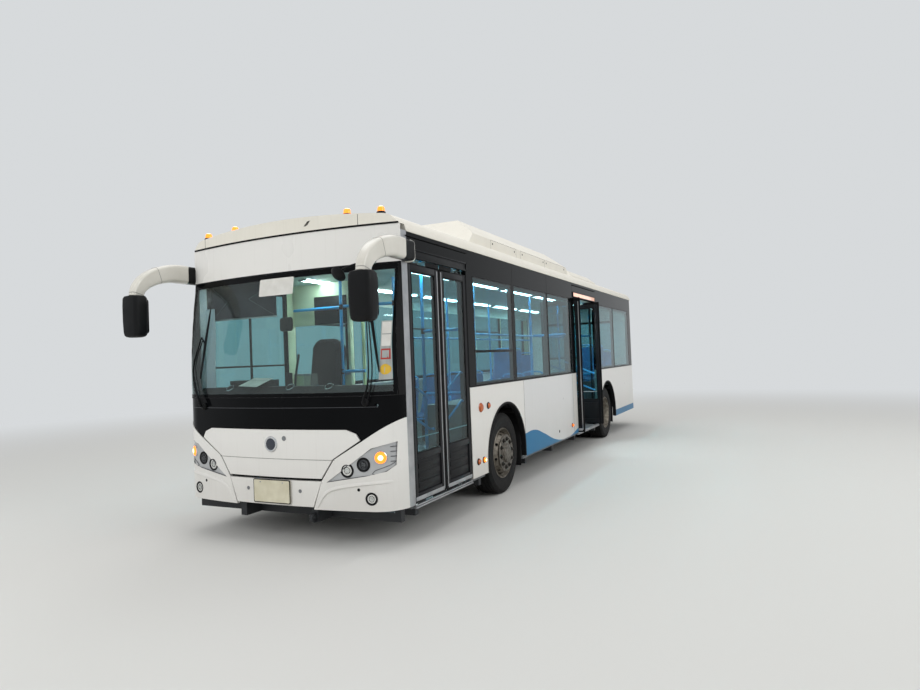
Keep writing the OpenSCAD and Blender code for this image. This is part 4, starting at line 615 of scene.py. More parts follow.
def softRect(w, h, r, steps=5):  # rounded rectangle as points, anticlockwise
    turns = np.linspace(0, math.pi / 2, steps + 1) + np.arange(4)[:, None] * math.pi / 2
    right, up = np.array([1, -1, -1, 1])[:, None], np.array([1, 1, -1, -1])[:, None]
    return np.stack([right * (w / 2 - r) + r * np.cos(turns), up * (h / 2 - r) + r * np.sin(turns)], -1).reshape(-1, 2)


def drape(outline, surface, proud, depth, step=0.05, along="x"):
    # a flat outline cut in strips and laid on a curved surface; first number runs across, second up
    line = np.asarray(outline, float)
    bm = toBmesh(np.column_stack([line[:, 0], 0 * line[:, 0], line[:, 1]]), [list(range(len(line)))])
    for cut in np.arange(line[:, 0].min() + step, line[:, 0].max() - 1e-4, step):
        bmesh.ops.bisect_plane(bm, geom=bm.verts[:] + bm.edges[:] + bm.faces[:], plane_co=(cut, 0, 0),
                               plane_no=(1, 0, 0))
    bmesh.ops.triangulate(bm, faces=[f for f in bm.faces if len(f.verts) > 4])
    flat, faces, rim = readMesh(bm)
    a, b, n = flat[:, 0], flat[:, 2], len(flat)
    layers = [surface(a, b, proud), surface(a, b, proud - depth)]
    points = np.vstack([np.stack([a, d, b] if along == "x" else [d, a, b], axis=1) for d in layers])
    joined = faces + [[i + n for i in f[::-1]] for f in faces] + np.column_stack([rim, rim[:, ::-1] + n]).tolist()
    bm = toBmesh(points, joined)
    bmesh.ops.recalc_face_normals(bm, faces=bm.faces[:])
    return takeMesh(bm)


def gridShell(xs, zs, surface, proud, depth):
    # a sheet over a grid of widths and heights, laid on a surface, given thickness and closed round its rim
    x, z = np.meshgrid(xs, zs, indexing="ij")
    points = np.vstack([np.stack([x, surface(x, z, p), z], -1).reshape(-1, 3) for p in (proud, proud - depth)])
    n, m = x.shape
    i, j = np.meshgrid(np.arange(n - 1), np.arange(m - 1), indexing="ij")
    k = (i * m + j).ravel()
    front = np.column_stack([k, k + m, k + m + 1, k + 1])
    around = np.concatenate([np.arange(n) * m, (n - 1) * m + np.arange(1, m), np.arange(n - 1)[::-1] * m + m - 1,
                             np.arange(1, m - 1)[::-1]])
    after = np.roll(around, -1)
    rim = np.column_stack([after, around, around + n * m, after + n * m])
    return outward((points, np.vstack([front, front[:, ::-1] + n * m, rim]).tolist()))


def addPiece(name, shells, body="body", angle=35, bevel=0.0, replaces=()):
    # one object from (points, faces, finish) shells, a material slot for each finish
    points, faces, slots, start, used = [], [], [], 0, []
    for shellPoints, shellFaces, finish in shells:
        if finish not in used:
            used.append(finish)
        points.append(shellPoints)
        faces += [[i + start for i in f] for f in shellFaces]
        slots += [used.index(finish)] * len(shellFaces)
        start += len(shellPoints)
    mesh = bpy.data.meshes.new(name)
    mesh.from_pydata(np.vstack(points).tolist(), [], faces)
    for finish in used:
        mesh.materials.append(finishes[finish])
    mesh.polygons.foreach_set("material_index", slots)
    mesh.polygons.foreach_set("use_smooth", [True] * len(faces))
    mesh.update()
    mesh.set_sharp_from_angle(angle=math.radians(angle))
    piece = bpy.data.objects.new(name, mesh)
    bpy.context.scene.collection.objects.link(piece)
    if bevel:
        mod = piece.modifiers.new("softEdges", "BEVEL")
        mod.width, mod.segments, mod.limit_method, mod.angle_limit = bevel, 2, "ANGLE", math.radians(40)
        mod.harden_normals = False
    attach(piece, body)
    if replaces:
        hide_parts(*replaces)
    return piece
print("builders ready")


# doors
doorSet = {"postIn": 0.075, "postLead": 0.0225, "leafT": 0.04, "leafZ": 0.37, "leafTop": 2.503, "jambGap": 0.006,
           "leafGap": 0.014, "openOut": 0.1, "frame": 0.058, "panelTop": 0.42, "guard": 0.03}
doorways = {"front_door": (0.098, 1.324, 0.0), "mid_door": (5.43, 6.80, 90.0)}


def leafPlace(jambs, last, turn):
    # the leaf's own frame at rest: pivot origin, x to the doorway's middle, y inboard
    width = (jambs[1] - jambs[0] - doorSet["leafGap"]) / 2 - doorSet["jambGap"]
    postX = halfW - 0.025 - doorSet["postIn"]
    armReach = (postX + doorSet["postLead"] + width - halfW - doorSet["openOut"]) / 2

    def turned(degrees):
        a = math.radians(degrees)
        m = np.eye(4)
        m[:2, :2] = [[math.cos(a), -math.sin(a)], [math.sin(a), math.cos(a)]]
        return m

    def shifted(x, y, z=0.0):
        m = np.eye(4)
        m[:3, 3] = x, y, z
        return m
    flip = np.diag([1.0, -1.0 if last else 1.0, 1.0, 1.0])
    post = shifted(postX, frontY + jambs[1 if last else 0]) @ flip @ shifted(0, doorSet["jambGap"] - doorSet["postLead"])
    place = post @ turned(90) @ turned(turn) @ shifted(armReach, -doorSet["postIn"]) @ turned(-2 * turn)
    return place, armReach - doorSet["postLead"], width


def doorLeaf(doorName, mark, last):
    first, end, turn = doorways[doorName]
    place, near, width = leafPlace((first, end), last, turn)
    d = doorSet
    far = width - near
    zs = d["leafTop"] - d["leafZ"]
    half, frameW = d["leafT"] / 2, d["frame"]
    x0, x1 = -near, far - 0.03  # the leaf's frame, without its edge guard
    glass0, glass1 = x0 + frameW, x0 + near + far - frameW - 0.02
    split = d["panelTop"]
    shells = []

    def box(a, b, c, e, f, g, finish, soft=0.003):
        shells.append((*boxShell(a, b, c, e, f, g, soft), finish))
    box(x0, glass0, -half, half, 0, zs, "doorFrameEnamel", 0.005)
    box(glass1, x1, -half, half, 0, zs, "doorFrameEnamel", 0.005)
    box(glass0, glass1, -half, half, zs - 0.06, zs, "doorFrameEnamel", 0.005)
    box(glass0, glass1, -half, half, split - 0.055, split, "doorFrameEnamel", 0.005)
    box(glass0, glass1, -half, half, 0, 0.07, "doorFrameEnamel", 0.005)
    box(glass0, glass1, -half + 0.012, half - 0.004, 0.07, split - 0.055, "satinBlackPanel", 0.002)
    for k in range(3):  # pressed ribs of the lower panel
        z = 0.11 + k * 0.085
        box(glass0 + 0.03, glass1 - 0.03, -half + 0.006, -half + 0.014, z, z + 0.05, "satinBlackPanel", 0.004)
    # gasket round the pane, inside and outside
    for a, b, f, g in ((glass0 - 0.002, glass0 + 0.014, split, zs - 0.06), (glass1 - 0.014, glass1 + 0.002, split,
                       zs - 0.06), (glass0, glass1, split - 0.002, split + 0.012),
                       (glass0, glass1, zs - 0.072, zs - 0.058)):
        box(a, b, -half - 0.001, half + 0.001, f, g, "epdmRubber", 0.002)
    # rubber finger guards along both upright edges, with a bright worn lip on the meeting edge
    shells.append((*loft([np.array([[x1 - 0.004, -half, z], [far - 0.002, -half, z], [far, -half + 0.006, z],
                                    [far - 0.004, -half + 0.014, z], [x1, -half + 0.014, z]]) for z in (0, zs)]),
                   "epdmRubber"))
    box(x1 - 0.012, x1 + 0.002, -half - 0.0025, -half + 0.002, 0.02, zs - 0.02, "anodisedAluminium", 0.001)
    box(x0 - 0.002, x0 + 0.016, -half - 0.002, -half + 0.004, 0.01, zs - 0.01, "epdmRubber", 0.0015)
    box(x0 + 0.01, x1 - 0.01, -half - 0.003, -half + 0.002, 0.004, 0.04, "anodisedAluminium", 0.0015)
    # brush seal over the leaf's top edge and rubber skirt at its foot
    for a, over, under in ((x0 + 0.004, 0.005, 0.005), (0.15, 0.046, 0.02)):  # lower near the pivot, clear of the arms
        box(a, far - 0.004, -half - 0.003, -half + 0.0005, zs - 0.004, zs + over, "epdmRubber", 0.001)
        box(a, far - 0.004, -half + 0.001, -half + 0.009, -under, 0.004, "epdmRubber", 0.001)
    # light bar across the pane, as a frosted strip inside the glass
    box(glass0 + 0.004, glass1 - 0.004, -half + 0.0125, -half + 0.015, split + 0.136, split + 0.146, "frostedFilm",
        0.0)
    # slanted inner handrails on stand-offs
    run, fall = near + far - frameW - 0.11, 0.21
    for z in (0.6, 0.9):
        a, b = np.array([x0 + frameW / 2, half + 0.048, z + fall]), np.array([x0 + frameW / 2 + run, half + 0.048, z])
        rail = np.stack([a + (b - a) * t for t in np.linspace(-0.04, 1.04, 9)])
        shells.append((*sweep(rail, 0.012, 14), "blueCoatedTube"))
        for end in (a, b):
            shells.append((*lathe([(0.016, 0), (0.016, 0.006), (0.009, 0.01), (0.009, 0.048)],
                                  end - np.array([0, 0.05, 0]), (0, 1, 0), 16), "blueCoatedTube"))
    for z in (-0.009, zs - 0.003):  # pivots
        shells.append((*lathe([(0, 0), (0.008, 0), (0.008, 0.012), (0, 0.012)], (0, 0, z), (0, 0, 1), 16),
                       "castSteel"))
    lift = np.eye(4)
    lift[2, 3] = d["leafZ"]
    body = doorName + "_leaf_" + mark
    made = [(*moved(s[:2], place @ lift), s[2]) for s in shells]
    addPiece("doorLeaf_" + doorName + mark, made, body, replaces=(body,))
    pane = boxShell(glass0 + 0.002, glass1 - 0.002, -half + 0.006, -half + 0.012, split, zs - 0.06)
    addPiece("doorPane_" + doorName + mark, [(*moved(pane, place @ lift), "tintedSideGlass")], body)


# side trim
sideSet = {"joints": (2.955, 5.2), "lampRow": ((1.578, 1.085, 0.046, "amberLampDark", "amberLampDark"),
                                               (1.786, 1.09, 0.033, "amberLampDark", "epdmRubber"),
                                               (1.468, 0.511, 0.031, "amberLampDark", "epdmRubber"),
                                               (1.615, 0.509, 0.029, "amberLampBright", "epdmRubber"),
                                               (5.09, 0.505, 0.024, "amberLampLit", "epdmRubber")),
           "archR": 0.605, "lipOut": 0.008}


def sideLamps():
    shells = []
    for s, z, r, lens, ring in sideSet["lampRow"]:
        at = (halfW, frontY + s, z)
        shells.append((*lathe([(0, 0), (r + 0.006, 0), (r + 0.006, 0.006), (r + 0.001, 0.010), (r - 0.002, 0.007),
                               (r - 0.003, 0.002), (0, 0.002)], at, (1, 0, 0), 32), ring))
        shells.append((*lathe([(r - 0.003, 0.001), (r - 0.003, 0.016), (r * 0.7, 0.024), (r * 0.35, 0.028),
                               (0, 0.029)], at, (1, 0, 0), 32), lens))
        if lens == "amberLampBright":
            shells.append((*lathe([(r * 0.5, 0.026), (r * 0.4, 0.0295), (0, 0.031)], at, (1, 0, 0), 24), "lampCore"))
    return bothSides(shells)


def archLip(axleY, sign):
    # black rubber lip: a small section carried round the arch and down its straight sides
    r = sideSet["archR"]
    turns = np.linspace(math.radians(-0.5), math.radians(180.5), 49)
    path = np.stack([np.cos(turns) * (r - 0.006), np.sin(turns) * (r - 0.006)], axis=1)
    low = np.array([[r - 0.006, -0.12], [r - 0.006, -0.06]])
    line = np.vstack([low, path, low[::-1] * [-1, 1]])
    sides = np.column_stack([-np.sign(line[:, 0]), 0 * line[:, 0]])
    inward = np.where(line[:, 1:] > 0, -line / np.linalg.norm(line, axis=1)[:, None], sides)
    lip = sideSet["lipOut"]
    deep, out = np.array([(0.0, 0.0), (0.0, lip), (0.018, lip), (0.024, 0.002), (0.024, -0.056), (0.0, -0.056)]).T
    rings = np.stack([0 * line[:, :1] + sign * (halfW + out), axleY + line[:, :1] + inward[:, :1] * (deep - 0.012),
                      wheelZ + line[:, 1:] + inward[:, 1:] * (deep - 0.012)], axis=-1)
    return outward(loft(rings)) + ("epdmRubber",)


def windowSeams():
    # gaskets round each side pane, and a hopper bar where a window has a top light
    shells = []
    rows = {1: [(1.5, 2.62, 1.35, 1.70), (2.74, 4.02, 1.35, 0), (4.08, 5.23, 1.35, 0), (6.96, 8.24, 1.35, 0),
                (8.3, 9.7, 1.35, 0)],
            -1: [(0.19, 1.34, 1.3, 0), (1.5, 2.62, 1.35, 2.15), (2.74, 4.02, 1.35, 0), (4.08, 5.36, 1.35, 2.15),
                 (5.42, 6.82, 1.35, 0), (6.96, 8.24, 1.35, 2.15), (8.3, 9.7, 1.35, 0)]}
    for sign, table in rows.items():
        for s0, s1, z0, bar in table:
            y0, y1, z1 = frontY + s0 - 0.015, frontY + s1 + 0.015, 2.515
            z0 -= 0.015
            a, b = sorted((sign * (halfW - 0.002), sign * (halfW + 0.0015)))
            for q in ((y0 - 0.003, y0 + 0.003, z0, z1), (y1 - 0.003, y1 + 0.003, z0, z1),
                      (y0, y1, z0 - 0.003, z0 + 0.003), (y0, y1, z1 - 0.003, z1 + 0.003)):
                shells.append((*boxShell(a, b, *q), "epdmRubber"))
            c, d = sorted((sign * (halfW - 0.0065), sign * (halfW - 0.012)))
            for q in ((y0, y0 + 0.035, z0, z1), (y1 - 0.035, y1, z0, z1), (y0, y1, z0, z0 + 0.03),
                      (y0, y1, z1 - 0.05, z1)):  # black print at the pane's edge
                shells.append((*boxShell(c, d, *q), "blackGlossLacquer"))
            if bar:
                shells.append((*boxShell(*sorted((sign * (halfW - 0.02), sign * (halfW + 0.004))), y0 + 0.03,
                                         y1 - 0.03, bar - 0.014, bar + 0.014, 0.003), "satinBlackPanel"))
    return shells


def sideTrim():
    shells = []
    for s in (2.955, 5.2):  # joints of the skirt's panels
        shells.append((*boxShell(halfW - 0.002, halfW + 0.0008, frontY + s - 0.002, frontY + s + 0.002, 0.352, 1.318),
                       "epdmRubber"))
    for s in (2.68, 4.05, 5.36):  # joints of the black band above the windows
        shells.append((*boxShell(halfW - 0.002, halfW + 0.0008, frontY + s - 0.0015, frontY + s + 0.0015, 2.52, 2.788),
                       "epdmRubber"))
    shells = bothSides(shells)
    # gutter: a slim drip rail along the roof's edge, and a rubber strip at the waist
    for sign in (1, -1):
        a, b = sorted((sign * (halfW - 0.004), sign * (halfW + 0.006)))
        shells.append((*boxShell(a, b, frontY + 0.1, frontY + 10.0, 2.786, 2.8, 0.003), "agedRoofEnamel"))
        a, b = sorted((sign * (halfW - 0.004), sign * (halfW + 0.002)))
        shells.append((*boxShell(a, b, frontY + (1.33 if sign > 0 else 0.1), frontY + (5.42 if sign > 0 else 10.0),
                                 1.316, 1.324, 0.001), "epdmRubber"))
        if sign > 0:
            shells.append((*boxShell(a, b, frontY + 6.81, frontY + 10.0, 1.316, 1.324, 0.001), "epdmRubber"))
    shells.append((*lathe([(0, 0), (0.02, 0), (0.02, 0.003), (0.012, 0.006), (0, 0.006)],
                          (halfW, frontY + 4.404, 0.49), (1, 0, 0), 24), "texturedAbs"))
    return shells


# roof
podSet = {"panels": ((2.64, 3.54), (3.71, 4.79), (4.79, 5.89)), "seamZ": 3.11}


def roofPanels():
    # flush service panels on the pod's two upright sides, as seam strips, with quarter-turn fasteners
    shells = []
    x = 1.0
    for s0, s1 in podSet["panels"]:
        y0, y1, z0, z1 = frontY + s0, frontY + s1, 2.985, podSet["seamZ"]
        w = 0.0022
        for q in ((y0, y0 + w, z0, z1), (y1 - w, y1, z0, z1), (y0, y1, z1 - w, z1)):
            shells.append((*boxShell(x - 0.002, x + 0.0007, *q), "epdmRubber"))
        for t in (0.07, 0.93):
            shells.append((*lathe([(0, 0), (0.013, 0), (0.013, 0.002), (0.008, 0.004), (0, 0.004)],
                                  (x, y0 + (y1 - y0) * t, z1 - 0.045), (1, 0, 0), 20), "texturedAbs"))
    return bothSides(shells)


def roofCap():
    # seams and small lamp chip of the moulded front of the roof, laid on its crowned edge
    shells = []

    def capLine(x, z, proud=0.0):
        return destPlan(x, z, proud + 0.006)
    for x in (-1.04, 0.86):
        shells.append((*drape([(x - 0.002, 2.862), (x + 0.002, 2.862), (x + 0.002, 2.955), (x - 0.002, 2.955)], capLine,
                              0.0008, 0.002), "epdmRubber"))
    chip = [(0.30, 2.905), (0.34, 2.947), (0.372, 2.952), (0.345, 2.918), (0.325, 2.905)]
    shells.append((*drape(chip, capLine, 0.001, 0.002), "agedChip"))
    # dark gap under the cap
    # painted shade: a black strip (epdmRubber) laid over the cap's foot stands in for the shade in the gap under the
    # cap
    shells.append((*drape([(-1.235, 2.8455), (1.235, 2.8455), (1.235, 2.861), (-1.235, 2.861)], capLine, 0.0006,
                          0.012), "epdmRubber"))
    return shells


# front
cluster = {"outline": [(0.585, 0.592), (0.70, 0.676), (0.86, 0.788), (1.02, 0.888), (1.12, 0.92), (1.205, 0.938),
                       (1.2, 0.745), (1.14, 0.694), (1.05, 0.664), (0.96, 0.652), (0.76, 0.622)],
           "lamps": ((1.093, 0.81, 0.05, "turn"), (0.941, 0.75, 0.05, "dark"), (0.786, 0.698, 0.05, "clear"),
                     (1.01, 0.459, 0.044, "fog"))}


def onNose(x, z, proud=0.0):  # a point on the nose's skin and its outward direction
    e = 1e-3
    y = float(nosePlan(x, z, proud))
    slope = (float(nosePlan(x + e, z, proud)) - float(nosePlan(x - e, z, proud))) / (2 * e)
    out = np.array([slope, -1.0, 0.0])
    return np.array([x, y, z]), out / np.linalg.norm(out)


def frontCluster():
    shells = []
    line = cluster["outline"]
    shells.append((*drape(line, nosePlan, -0.0095, 0.004, 0.03), "satinGreyPanel"))
    # thin dark outline: a slim seal swept along the panel's edge
    loop = curved(line + [line[0]], 4)
    path = np.array([onNose(x, z, -0.004)[0] for x, z in loop])
    shells.append((*sweep(path, 0.0035, 8), "satinGreyEdge"))
    for x, z, r, kind in cluster["lamps"]:
        at, out = onNose(x, z, -0.012 if kind != "fog" else -0.006)
        deep = {"turn": 0.0, "dark": -0.004, "clear": -0.004, "fog": -0.004}[kind]
        rim = "chromedRing" if kind == "turn" else "texturedAbs"
        wide = r + (0.006 if kind == "turn" else 0.012)
        shells.append((*lathe([(0, -0.004), (wide + 0.002, -0.004), (wide, 0.008), (wide - 0.004, 0.011),
                               (r - 0.004, 0.008 + deep), (r - 0.008, 0.002), (0, 0.002)], at, out, 48), rim))
        if kind == "turn":
            shells.append((*lathe([(r + 0.002, 0.004), (r + 0.001, 0.011), (r * 0.8, 0.019), (r * 0.45, 0.024),
                                   (0, 0.026)], at, out, 48), "amberLampBright"))
            shells.append((*lathe([(r * 0.5, 0.0225), (r * 0.42, 0.0255), (r * 0.2, 0.0275), (0, 0.028)], at, out, 32),
                           "lampCore"))
        else:
            # reflector bowl, dark projector ring and clear dome
            shells.append((*lathe([(r - 0.006, 0.004), (r * 0.72, 0.001), (r * 0.45, 0.0005), (0, 0.0005)], at, out,
                                  48), "darkReflector" if kind == "dark" else "chromedReflector"))
            shells.append((*lathe([(r * 0.62, 0.0015), (r * 0.6, 0.005), (r * 0.52, 0.006), (r * 0.5, 0.002)], at, out,
                                  40), "texturedAbs"))
            shells.append((*lathe([(r * 0.46, 0.002), (r * 0.4, 0.007), (r * 0.22, 0.0105), (0, 0.012)], at, out, 40),
                           "lampLens"))
    # four short ribs at the outer edge and the outline of the marker lens low down
    for k in range(4):
        z = 0.9 - 0.042 * k
        pts = np.array([onNose(x, z - 0.02 * (x - 1.16), -0.006)[0] for x in np.linspace(1.165, 1.203, 6)])
        shells.append((*sweep(pts, 0.0032, 8), "satinGreyEdge"))
    oval = np.array([(1.02 + 0.0, 0.672), (1.05, 0.70), (1.11, 0.722), (1.17, 0.748), (1.198, 0.772), (1.2, 0.745),
                     (1.14, 0.696), (1.06, 0.668)])
    path = np.array([onNose(x, z, -0.007)[0] for x, z in curved(np.vstack([oval, oval[:1]]), 4)])
    shells.append((*sweep(path, 0.0025, 8), "satinGreyEdge"))
    return bothSides(shells)


def bumperForm():
    # the moulded lip: a soft ridge that runs in from the corner and turns down along the inner edge
    shells = []
    ridge = curved([(1.19, 0.60), (1.05, 0.592), (0.9, 0.576), (0.75, 0.553), (0.63, 0.523), (0.56, 0.475), (0.515, 0.41),
                    (0.485, 0.362)], 6)
    n = len(ridge)
    rings = []
    for i, (x, z) in enumerate(ridge):
        t = i / (n - 1)
        full = math.sin(math.pi * min(1, max(0.0, t * 1.0))) ** 0.35 if 0 < t < 1 else 0.0
        ahead = ridge[min(i + 1, n - 1)] - ridge[max(i - 1, 0)]
        ahead = ahead / np.linalg.norm(ahead)
        across = np.array([-ahead[1], ahead[0]])
        ring = []
        for w, h in ((0.03, -0.006), (0.018, 0.004), (0.005, 0.0125), (-0.004, 0.013), (-0.009, 0.006),
                     (-0.012, -0.006)):
            p = np.array([x, z]) - across * w
            ring.append(onNose(p[0], p[1], h * full - 0.002 * (1 - full) - (0.004 if h < 0 else 0))[0])
        rings.append(ring)
    shells.append((*loft(rings), "whiteEnamel"))
    plug, out = onNose(0.895, 0.535, -0.001)
    shells.append((*lathe([(0, 0), (0.014, 0), (0.014, 0.002), (0.009, 0.003), (0, 0.001)], plug, out, 20),
                   "texturedAbs"))
    return bothSides(shells)


def flapTrim():
    shells = []
    # pressed seam across the flap, and its shadow line
    shells.append((*drape([(-0.672, 0.783), (0.672, 0.783), (0.674, 0.788), (-0.674, 0.788)], nosePlan, 0.0009, 0.003),
                   "seamGrey"))
    at, out = onNose(0.0, 0.918, 0.0)
    shells.append((*lathe([(0, 0), (0.072, 0), (0.072, 0.004), (0.068, 0.009), (0.060, 0.011), (0.052, 0.007),
                           (0, 0.007)], at, out, 56), "chromedRing"))
    shells.append((*lathe([(0.0, 0.006), (0.053, 0.006), (0.053, 0.0085), (0.045, 0.0105), (0, 0.0125)], at, out, 56),
                   "navyEnamel"))
    at, out = onNose(0.15, 0.972, 0.0)
    shells.append((*lathe([(0, 0), (0.022, 0), (0.022, 0.003), (0.018, 0.004), (0, 0.003)], at, out, 28),
                   "lockGrey"))
    return shells


def plateTrim():
    # the bare plate: pressed border, dark edge and two bolts; a plug on each side of it
    y = frontY - noseReach - 0.012
    shells = [(*loft([np.array([[x, y - d, z] for x, z in softRect(w, h, 0.012) + [0.0, 0.4925]])
                      for d, w, h in ((-0.002, 0.426, 0.215), (0.002, 0.426, 0.215))]), "texturedAbs"),
              (*loft([np.array([[x, y - d, z] for x, z in softRect(w, h, 0.01) + [0.0, 0.4925]])
                      for d, w, h in ((0.0, 0.412, 0.2), (0.0035, 0.410, 0.198), (0.0045, 0.404, 0.192),
                                      (0.0035, 0.396, 0.184), (0.003, 0.392, 0.18))]), "plateEnamel")]
    for x in (-0.13, 0.13):
        shells.append((*lathe([(0, 0), (0.007, 0), (0.006, 0.003), (0, 0.004)], (x, y - 0.003, 0.573), (0, -1, 0), 14),
                       "anodisedAluminium"))
    for x in (-0.295, 0.31):
        at, out = onNose(x, 0.505, 0.0)
        shells.append((*lathe([(0, 0), (0.017, 0), (0.017, 0.002), (0.011, 0.0035), (0.009, 0.001), (0, 0.001)], at,
                              out, 20), "lockGrey"))
    return shells


def bandTrim():
    # the thin raised line across the black band, and the flap's rubber edge below it
    shells = [(*drape([(-1.08, 1.2425), (1.08, 1.2425), (1.08, 1.2475), (-1.08, 1.2475)], nosePlan, -0.002, 0.006),
               "bandLine")]
    shells.append((*drape([(-0.5, 0.604), (0.5, 0.604), (0.5, 0.616), (-0.5, 0.616)], nosePlan, -0.02, 0.02),
                   "epdmRubber"))
    return shells


def wiperSet():
    # pivots, arms with their spring housings, and blades; heads of the arms lie on the glass
    shells = []
    rows = (((0.985, 1.285), [(0.99, 1.283), (1.03, 1.505), (0.985, 2.0)], [(1.11, 1.54), (1.02, 1.976),
                                                                            (0.965, 2.25)]),
            ((-0.89, 1.258), [(-0.89, 1.26), (-1.063, 1.612), (-0.977, 1.94)], [(-0.966, 1.527), (-0.94, 1.87),
                                                                                (-0.908, 2.224)]))
    for (px, pz), arm, blade in rows:
        at, out = onNose(px, pz, -0.002)
        shells.append((*lathe([(0, -0.01), (0.03, -0.01), (0.034, 0.004), (0.03, 0.02), (0.016, 0.034), (0, 0.036)],
                              at, out, 28), "texturedAbs"))
        line = curved(arm, 8)

        def lay(points, lift):
            out = []
            for x, z in points:
                y = float(nosePlan(x, z)) if z < screenZ else float(wrapPlan(x, z))
                out.append([x, y - lift, z])
            return np.array(out)
        base = lay(line, 0.045)
        width = np.interp(np.linspace(0, 1, len(base)), (0, 0.25, 0.5, 1), (0.017, 0.013, 0.009, 0.007))
        shells.append((*sweep(base, width, 10, 0.6), "wiperBlack"))
        edge = lay(curved(blade, 10), 0.016)
        n = len(edge)
        spine = np.interp(np.linspace(0, 1, n), (0, 0.12, 0.5, 0.88, 1), (0.004, 0.008, 0.011, 0.008, 0.004))
        shells.append((*sweep(edge, spine, 10, 1.4), "wiperBlack"))
        mid = edge[n // 2]
        shells.append((*sweep(np.stack([base[-1] + (mid - base[-1]) * t for t in np.linspace(0, 1, 5)]), 0.008, 8),
                       "wiperBlack"))
        second = lay(curved([(arm[0][0] + 0.035, arm[0][1]), (arm[1][0] + 0.03, arm[1][1] + 0.03),
                             (arm[2][0] + 0.02, arm[2][1] - 0.02)], 8), 0.04)
        shells.append((*sweep(second, 0.0055, 8), "wiperBlack"))
    return shells


# mirrors
horn = {"centre": [(-0.088, 2.602), (-0.16, 2.603), (-0.28, 2.597), (-0.44, 2.56), (-0.57, 2.495), (-0.645, 2.42),
                   (-0.675, 2.335)],
        "depth": [0.185, 0.187, 0.18, 0.165, 0.148, 0.132, 0.12], "width": [0.115, 0.118, 0.118, 0.112, 0.104, 0.096,
                                                                             0.086]}


def mirrorArm():
    # a rounded section carried along the horn's centre line, broad at the pillar and slimmer at its tip
    base = np.array(horn["centre"])
    path = curved(base, 6)
    t = np.linspace(0, 1, len(path))
    knots = np.linspace(0, 1, len(base))
    deep, wide = np.interp(t, knots, horn["depth"]), np.interp(t, knots, horn["width"])
    ahead = np.gradient(path, axis=0)
    ahead /= np.linalg.norm(ahead, axis=1)[:, None]
    rings = []
    for (s, z), (ds, dz), h, w in zip(path, ahead, deep, wide):
        section = softRect(w, h, min(w, h) * 0.3, 6)
        rings.append([[1.298 + a, frontY + s - dz * b, z + ds * b] for a, b in section])
    shells = [(*loft(rings), "hornEnamel")]
    for k in (len(path) // 2, len(path) - 3):  # joints of the two half shells: thin raised bands
        middle, band = np.mean(rings[k], axis=0), np.array(rings[k])
        ahead3 = np.array([0.0, ahead[k][0], ahead[k][1]])
        grown = middle + (band - middle) * 1.012
        shells.append((*loft([grown - ahead3 * 0.0025, grown + ahead3 * 0.0025]), "seamGrey"))
    # black sleeve, and the white cap on the corner pillar
    sleeve = [[[1.294 + a, frontY + s, 2.60 + b] for a, b in softRect(0.11, 0.178, 0.032, 6)]
              for s in (-0.095, 0.07)]
    cap = [[[1.278 + a, frontY + s, 2.60 + b] for a, b in softRect(w, h, 0.035, 6)]
           for s, w, h in ((0.064, 0.098, 0.186), (0.072, 0.11, 0.198), (0.1, 0.11, 0.198), (0.112, 0.1, 0.188))]
    shells += [(*loft(sleeve), "texturedAbs"), (*loft(cap), "hornEnamel")]
    # small clamp between the horn's tip and the head
    shells.append((*lathe([(0, 0), (0.04, 0), (0.04, 0.03), (0.03, 0.045), (0, 0.045)], (1.298, frontY - 0.68, 2.3),
                          (0, 0, 1), 24), "texturedAbs"))
    return bothSides([(p, f if orientedOut(p, f) else [g[::-1] for g in f], m) for p, f, m in shells])


def orientedOut(points, faces):  # true when a closed shell's faces point outwards, by its signed volume
    total = 0.0
    for count in {len(f) for f in faces}:  # each face as a fan of triangles, all faces of one count together
        p = points[np.array([f for f in faces if len(f) == count])]
        total += float(np.einsum("fi,fki->", p[:, 0], np.cross(p[:, 1:-1], p[:, 2:])))
    return total > 0


def outward(shell):
    return shell if orientedOut(shell[0], shell[1]) else (shell[0], [f[::-1] for f in shell[1]])


def mirrorHead():
    # rounded housing: sections from top to bottom, slimmer below, with the mirror glass facing back
    rows = ((2.348, 0.15, 0.10), (2.342, 0.19, 0.13), (2.32, 0.214, 0.146), (2.25, 0.22, 0.15), (2.1, 0.218, 0.15),
            (2.0, 0.208, 0.146), (1.97, 0.196, 0.138), (1.956, 0.17, 0.118), (1.95, 0.13, 0.09))
    rings = [[[1.3 + a, frontY - 0.685 + b, z] for a, b in softRect(w, d, 0.045, 6)] for z, w, d in rows]
    shells = [(*outward(loft(rings)), "texturedAbs")]
    glass = [[[1.3 + a, frontY - 0.685 + 0.075 + d, 2.15 + b] for a, b in softRect(0.18, 0.33, 0.03, 6)]
             for d in (0.0, 0.0035)]
    shells.append((*outward(loft(glass)), "mirrorGlass"))
    return bothSides(shells)


def lookDownMirror():
    # round convex mirror on a bracket from the screen's top corner, door side
    path = curved([(1.13, -4.93, 2.49), (1.08, -5.05, 2.47), (0.97, -5.10, 2.44), (0.88, -5.10, 2.41)], 6)
    shells = [(*sweep(path, 0.011, 10), "texturedAbs")]
    out = np.array([-0.15, -0.75, -0.6])
    shells.append((*lathe([(0, -0.03), (0.03, -0.028), (0.055, -0.015), (0.07, 0.0), (0.072, 0.006), (0.066, 0.012),
                           (0.05, 0.016), (0, 0.022)], (0.86, -5.10, 2.385), -out, 36), "texturedAbs"))
    return shells


